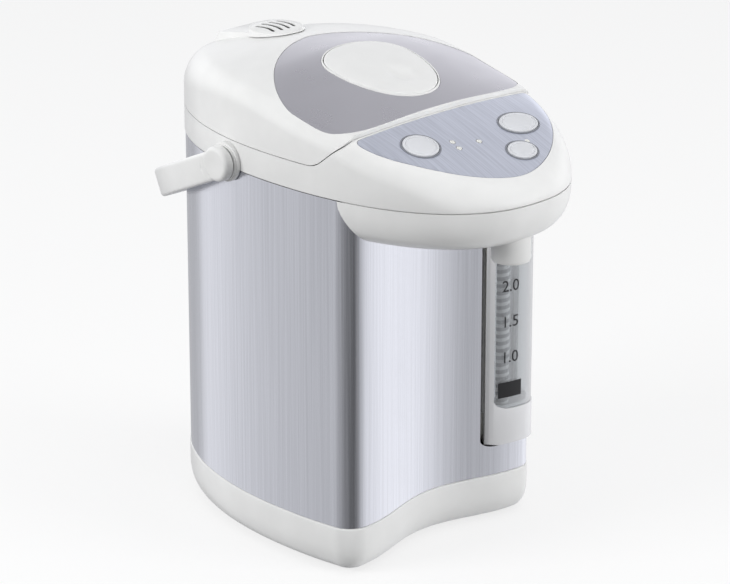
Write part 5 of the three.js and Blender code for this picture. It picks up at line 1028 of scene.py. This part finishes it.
# Bail handle: a strap of rounded section along a soft arch, with a hub at each end
HANDLE_OUT, HANDLE_IN, HANDLE_DROOP = (103.6, 143.5), (97.2, 130.5), 24.0
STRAP_HALF, STRAP_ROUND = 10.0, 2.6
DIMPLE_X, DIMPLE_Y = 103.9, 15.5


def arch(half, reach, steps=96):
    t = math.pi * np.linspace(0, 1, steps + 1)
    return np.column_stack([half * np.cos(t), reach * np.sin(t)])


def rounded_box(half_u, half_v, radius, steps=5):
    points = []
    for su, sv, start in ((1, 1, 0), (-1, 1, QUARTER), (-1, -1, math.pi), (1, -1, 3 * QUARTER)):
        for t in start + arc(steps):
            u = su * (half_u - radius) + radius * math.cos(t)
            points.append((u, sv * (half_v - radius) + radius * math.sin(t)))
    return points


rings = []
for o, i in zip(arch(*HANDLE_OUT), arch(*HANDLE_IN)):
    middle, half = (o + i) / 2, np.hypot(*(o - i)) / 2
    away = (o - i) / (2 * half)
    section = rounded_box(half, STRAP_HALF, min(STRAP_ROUND, half * 0.8))
    rings.append([(middle[0] + away[0] * u, middle[1] + away[1] * u, v) for u, v in section])
rest = Matrix.Translation((0, PIVOT_Y, PIVOT_Z)) @ Matrix.Rotation(-math.radians(HANDLE_DROOP), 4, "X")
handle = moved(loft(rings), rest)
HUB = [(0, 97.2), (11.4, 97.2), (12, 97.8), (12, 101.4), (11.6, 102.6), (10.8, 103.6), (9.8, 104.1),
       (8.8, 104.2), (5, 103.9), (0, 103.8)]
handle = joined(handle, *[side_rod(s, HUB) for s in (1, -1)])
handle = cut(handle, *pin_bores(90, 102.5))
for s in (1, -1):
    place = rest @ Vector((s * DIMPLE_X, DIMPLE_Y, 0))
    rings = []
    for d, r in ((-1.0, 0.9), (-0.6, 1.5), (1.0, 1.9)):
        rings.append([(place.x + s * d, y, z) for y, z in circle(r, place.y, place.z, 20)])
    handle = cut(handle, loft(rings))
piece("carry_handle", handle, "bail_handle", sharp=34)
body_side = dome(-TOUCH, 0, 245)
BOSS = [(0, 88), (13.4, 88), (13.4, 94.4), (13.1, 94.8), (12, 94.8), (12, 96.0), (11.8, 96.2), (0, 96.2)]
for side, s in (("right", 1), ("left", -1)):
    boss = side_rod(s, BOSS)
    pin = side_rod(s, shaft(3.5, 82.5, 102.2), sides=32)
    piece(f"{side}_pivot_boss", joined(cut(boss, body_side), pin), f"{side}_handle_pivot")

# Power inlet on the back
BACK = WIDEST_Y + BACK_REACH - OVERHANG


def contact_bore(x, radius=2.5, narrowing=0.5):
    rings = []
    for r, y in ((radius, BACK - 20), (radius, BACK - narrowing), (radius - narrowing, BACK)):
        rings.append([(a, y, b) for a, b in circle(r, x, INLET_Z, 24)])
    return loft(rings)


flange = cut(body_prism(-1.9, 0, COLLAR_SEAM), body_prism(-TOUCH, -4, HIGH))
flange = common(flange, inlet_box(FLANGE_HALF_X, FLANGE_HALF_Z, CONTAINER_Y))
block = common(inlet_box(SOCKET_HALF_X, SOCKET_HALF_Z, BACK - 16), body_prism(-1.1, 0, COLLAR_SEAM))
recess = loft([[(u, y, INLET_Z + v) for u, v in rounded_box(16, 8.5, 3.0, 6)] for y in (BACK - 12, HIGH)])
inlet = cut(joined(flange, block), recess, contact_bore(8), contact_bore(-8))
piece("inlet_socket", inlet, "power_inlet")

# Pieces that show when the lid is open
container = turned([
    (0, 66), (72.5, 66), (77.5, 68), (80.5, 74), (80.5, 262), (77.7, 270), (77.7, 275.2), (82, 275.2),
    (82, 276), (76.9, 276), (76.9, 270), (79.7, 262), (79.7, 74), (77, 69), (71.7, 66.8), (0, 66.8),
], 0, CONTAINER_Y, 96)
container = joined(container, post(5, 38, -46, 60, 66.4))
piece("water_container", cut(container, post(3.8, 38, -46, 50, 70)), "inner_container", sharp=40)
ring = turned([
    (73.5, 268.1), (76.5, 268.1), (76.5, 282.4), (80.6, 282.4), (81, 282.8), (80.9, 283.5), (80.4, 283.9),
    (76.5, 284), (74, 283.9), (73.5, 283.4),
], 0, CONTAINER_Y, 96)
piece("filling_ring", ring, "mouth_ring")
plate = turned([
    (0, 283.4), (52, 283.4), (55, 280.4), (69.4, 280.4), (69.4, 279.6), (54.6, 279.6), (51.6, 282.6),
    (0, 282.6),
], 0, CONTAINER_Y, 96)
plate = cut(plate, post(5.4, 0, VENT_Y, 0, HIGH))
piece("inner_plate", plate, "inner_lid_plate")
gasket = turned([
    (68.1, 280.7), (69.7, 280.7), (69.7, 279.3), (68.1, 279.3), (68.1, 278), (71.3, 277), (72.9, 277),
    (71.6, 280), (71.3, 280.4), (71.3, 284.6), (68.1, 284.6),
], 0, CONTAINER_Y, 96)
piece("lid_gasket", gasket, "inner_lid_gasket")

inner = common(cut(lid_region(-2.75), lid_region(-4.75)), prism(inset(HEAD, 2.95), 280, 299.6), dome(2.95))
inner = cut(inner, hinge_room(HIGH))
knuckle = hinge_rod([(0, -9), (3.6, -9), (4, -8.6), (4, 8.6), (3.6, 9), (0, 9)], 40)
inner = joined(inner, knuckle, box(-9, 9, 105, HINGE_Y, 285.2, 287.2))
screw_bores = [post(1.8, x, 30, 0, HIGH) for x in (62, -62)]
pin_bore = hinge_rod(shaft(HINGE_BORE, -30, 30), 24)
inner = cut(inner, *screw_bores, pin_bore, post(7.3, 0, VENT_Y, 0, HIGH))
piece("inner_cover", inner, "lid_inner_cover")


# Camera at the photograph's place. The photograph's width and the focal length are in its pixels, the angles
# in degrees, and the sensor and the camera's place in millimetres, in the drawing's frame.
PHOTO_WIDTH, FOCAL_LENGTH, SENSOR_WIDTH = 730, 3537.96, 36
AZIMUTH, ELEVATION = -44.04, 19.87
CAMERA_X, CAMERA_Y, CAMERA_Z = -1575.30, -1655.69, 980.13
camera = placed("camera", bpy.data.cameras.new("camera"))
camera.data.lens = FOCAL_LENGTH * SENSOR_WIDTH / PHOTO_WIDTH
camera.data.sensor_width = SENSOR_WIDTH
camera.data.clip_end = 50
az, el = math.radians(AZIMUTH), math.radians(ELEVATION)
back = Vector((math.sin(az) * math.cos(el), -math.cos(az) * math.cos(el), math.sin(el)))
right = (-back).cross(Vector((0, 0, 1))).normalized()
up = right.cross(-back)
place = (CAMERA_X / 1000, (CAMERA_Y + SHIFT) / 1000, CAMERA_Z / 1000)
camera.matrix_world = matrix_of((right, up, back), place)
bpy.context.scene.camera = camera


# Studio: a pale floor, a surround and soft lamps
# Brightness of the surround by compass direction in degrees from +X towards +Y, and by height
SURROUND = [
    (-180, 0.36), (-162, 0.26), (-140, 0.17), (-108, 0.12), (-92, 0.28), (-78, 0.50), (-62, 0.68),
    (-45, 0.84), (-28, 0.97), (-8, 1.04), (20, 0.95), (50, 0.62), (70, 0.50), (86, 0.50), (90, 0.88),
    (102, 0.84), (118, 0.72), (136, 0.61), (150, 0.56), (166, 0.44), (180, 0.36),
]
OVERHEAD = [(-0.3, 0.70), (0.0, 1.15), (0.2, 1.35), (0.34, 1.05), (0.5, 0.74), (0.67, 0.56), (1.0, 0.55)]
SURROUND_TINT, FILL_TINT, FILL = (0.985, 0.99, 1.02), (0.96, 0.975, 1.0), 0.39
# Each lamp with its place, the point it faces, its size and its power
SOFT_LAMPS = [
    ("right_front", (1.0, -2.4, 0.75), (0, 0, 0.06), (1.2, 0.9), 38),
    ("left_side", (-2.4, 0.9, 1.35), (0, 0, 0.15), (1.3, 1.3), 48),
    ("top", (0.1, -0.3, 2.4), (0, 0, 0.2), (1.6, 1.6), 12),
]
FLOOR_HALF, FLOOR_SHADE, FLOOR_SEEN, FLOOR_GLOW = 30.0, 0.32, 0.95, 0.75


def stops_of(tree, source, stops):
    node = added(tree, "ValToRGB", source)
    node.color_ramp.interpolation = "EASE"
    elements = node.color_ramp.elements
    elements.remove(elements[-1])
    for k, (at, value) in enumerate(stops):
        element = elements[0] if k == 0 else elements.new(at)
        element.position = at
        element.color = (*(value * tint for tint in SURROUND_TINT), 1)
    return node.outputs["Color"]


# Gloss mirrors the bands of the surround, matt faces get an even fill, and the camera sees a plain backdrop
def surround():
    world = bpy.data.worlds.new("studio")
    bpy.context.scene.world = world
    world.use_nodes = True
    tree = world.node_tree
    tree.nodes.clear()
    axes = axes_of(tree, "Generated")
    turn = worked_out(tree, "ARCTAN2", axes["Y"], axes["X"])
    share = ramp(tree, turn, 0, 1, (-math.pi, math.pi))
    bands = stops_of(tree, share, [((d + 180) / 360, v) for d, v in SURROUND])
    height = ramp(tree, axes["Z"], 0, 1, (-1, 1))
    above = stops_of(tree, height, [((z + 1) / 2, v) for z, v in OVERHEAD])
    upward = ramp(tree, axes["Z"], 0, 0.85, (-0.24, -0.02))
    upward.node.interpolation_type = "SMOOTHSTEP"
    sky = mixed_colour(tree, upward, bands, above)
    gloss = added(tree, "Background", Color=sky).outputs["Background"]
    fill = added(tree, "Background", Color=(*FILL_TINT, 1), Strength=FILL).outputs["Background"]
    white = added(tree, "Background").outputs["Background"]
    path = added(tree, "LightPath").outputs
    lit = mixed(tree, path["Is Glossy Ray"], fill, gloss)
    added(tree, "OutputWorld", Surface=mixed(tree, path["Is Camera Ray"], lit, white))


surround()
for name, place, target, size, energy in SOFT_LAMPS:
    data = bpy.data.lights.new(name, "AREA")
    data.shape = "RECTANGLE"
    data.size, data.size_y = size
    data.energy = energy
    item = placed(name, data)
    item.location = place
    item.rotation_euler = (Vector(target) - Vector(place)).to_track_quat("-Z", "Y").to_euler()
    item.visible_glossy = False

# The floor takes the shadow, looks pale to the camera and isn't mirrored in the metal
floor_mesh = bpy.data.meshes.new("floor")
corners = [(x * FLOOR_HALF, y * FLOOR_HALF, 0) for x, y in ((-1, -1), (1, -1), (1, 1), (-1, 1))]
floor_mesh.from_pydata(corners, [], [(0, 1, 2, 3)])
floor = placed("floor", floor_mesh)
material, tree, bsdf = shader("floor_white")
path = added(tree, "LightPath").outputs
pale = mixed_colour(tree, path["Is Camera Ray"], (*[FLOOR_SHADE] * 3, 1), (*[FLOOR_SEEN] * 3, 1))
fed(tree, bsdf, Base_Color=pale, Roughness=0.8)
glow = added(tree, "Emission").outputs["Emission"]
share = worked_out(tree, "MULTIPLY", path["Is Camera Ray"], FLOOR_GLOW)
seen = mixed(tree, share, bsdf.outputs["BSDF"], glow)
through = added(tree, "BsdfTransparent").outputs["BSDF"]
final = mixed(tree, path["Is Glossy Ray"], seen, through)
fed(tree, tree.nodes["Material Output"], Surface=final)
floor_mesh.materials.append(material)

bpy.context.scene.view_settings.view_transform = "Standard"
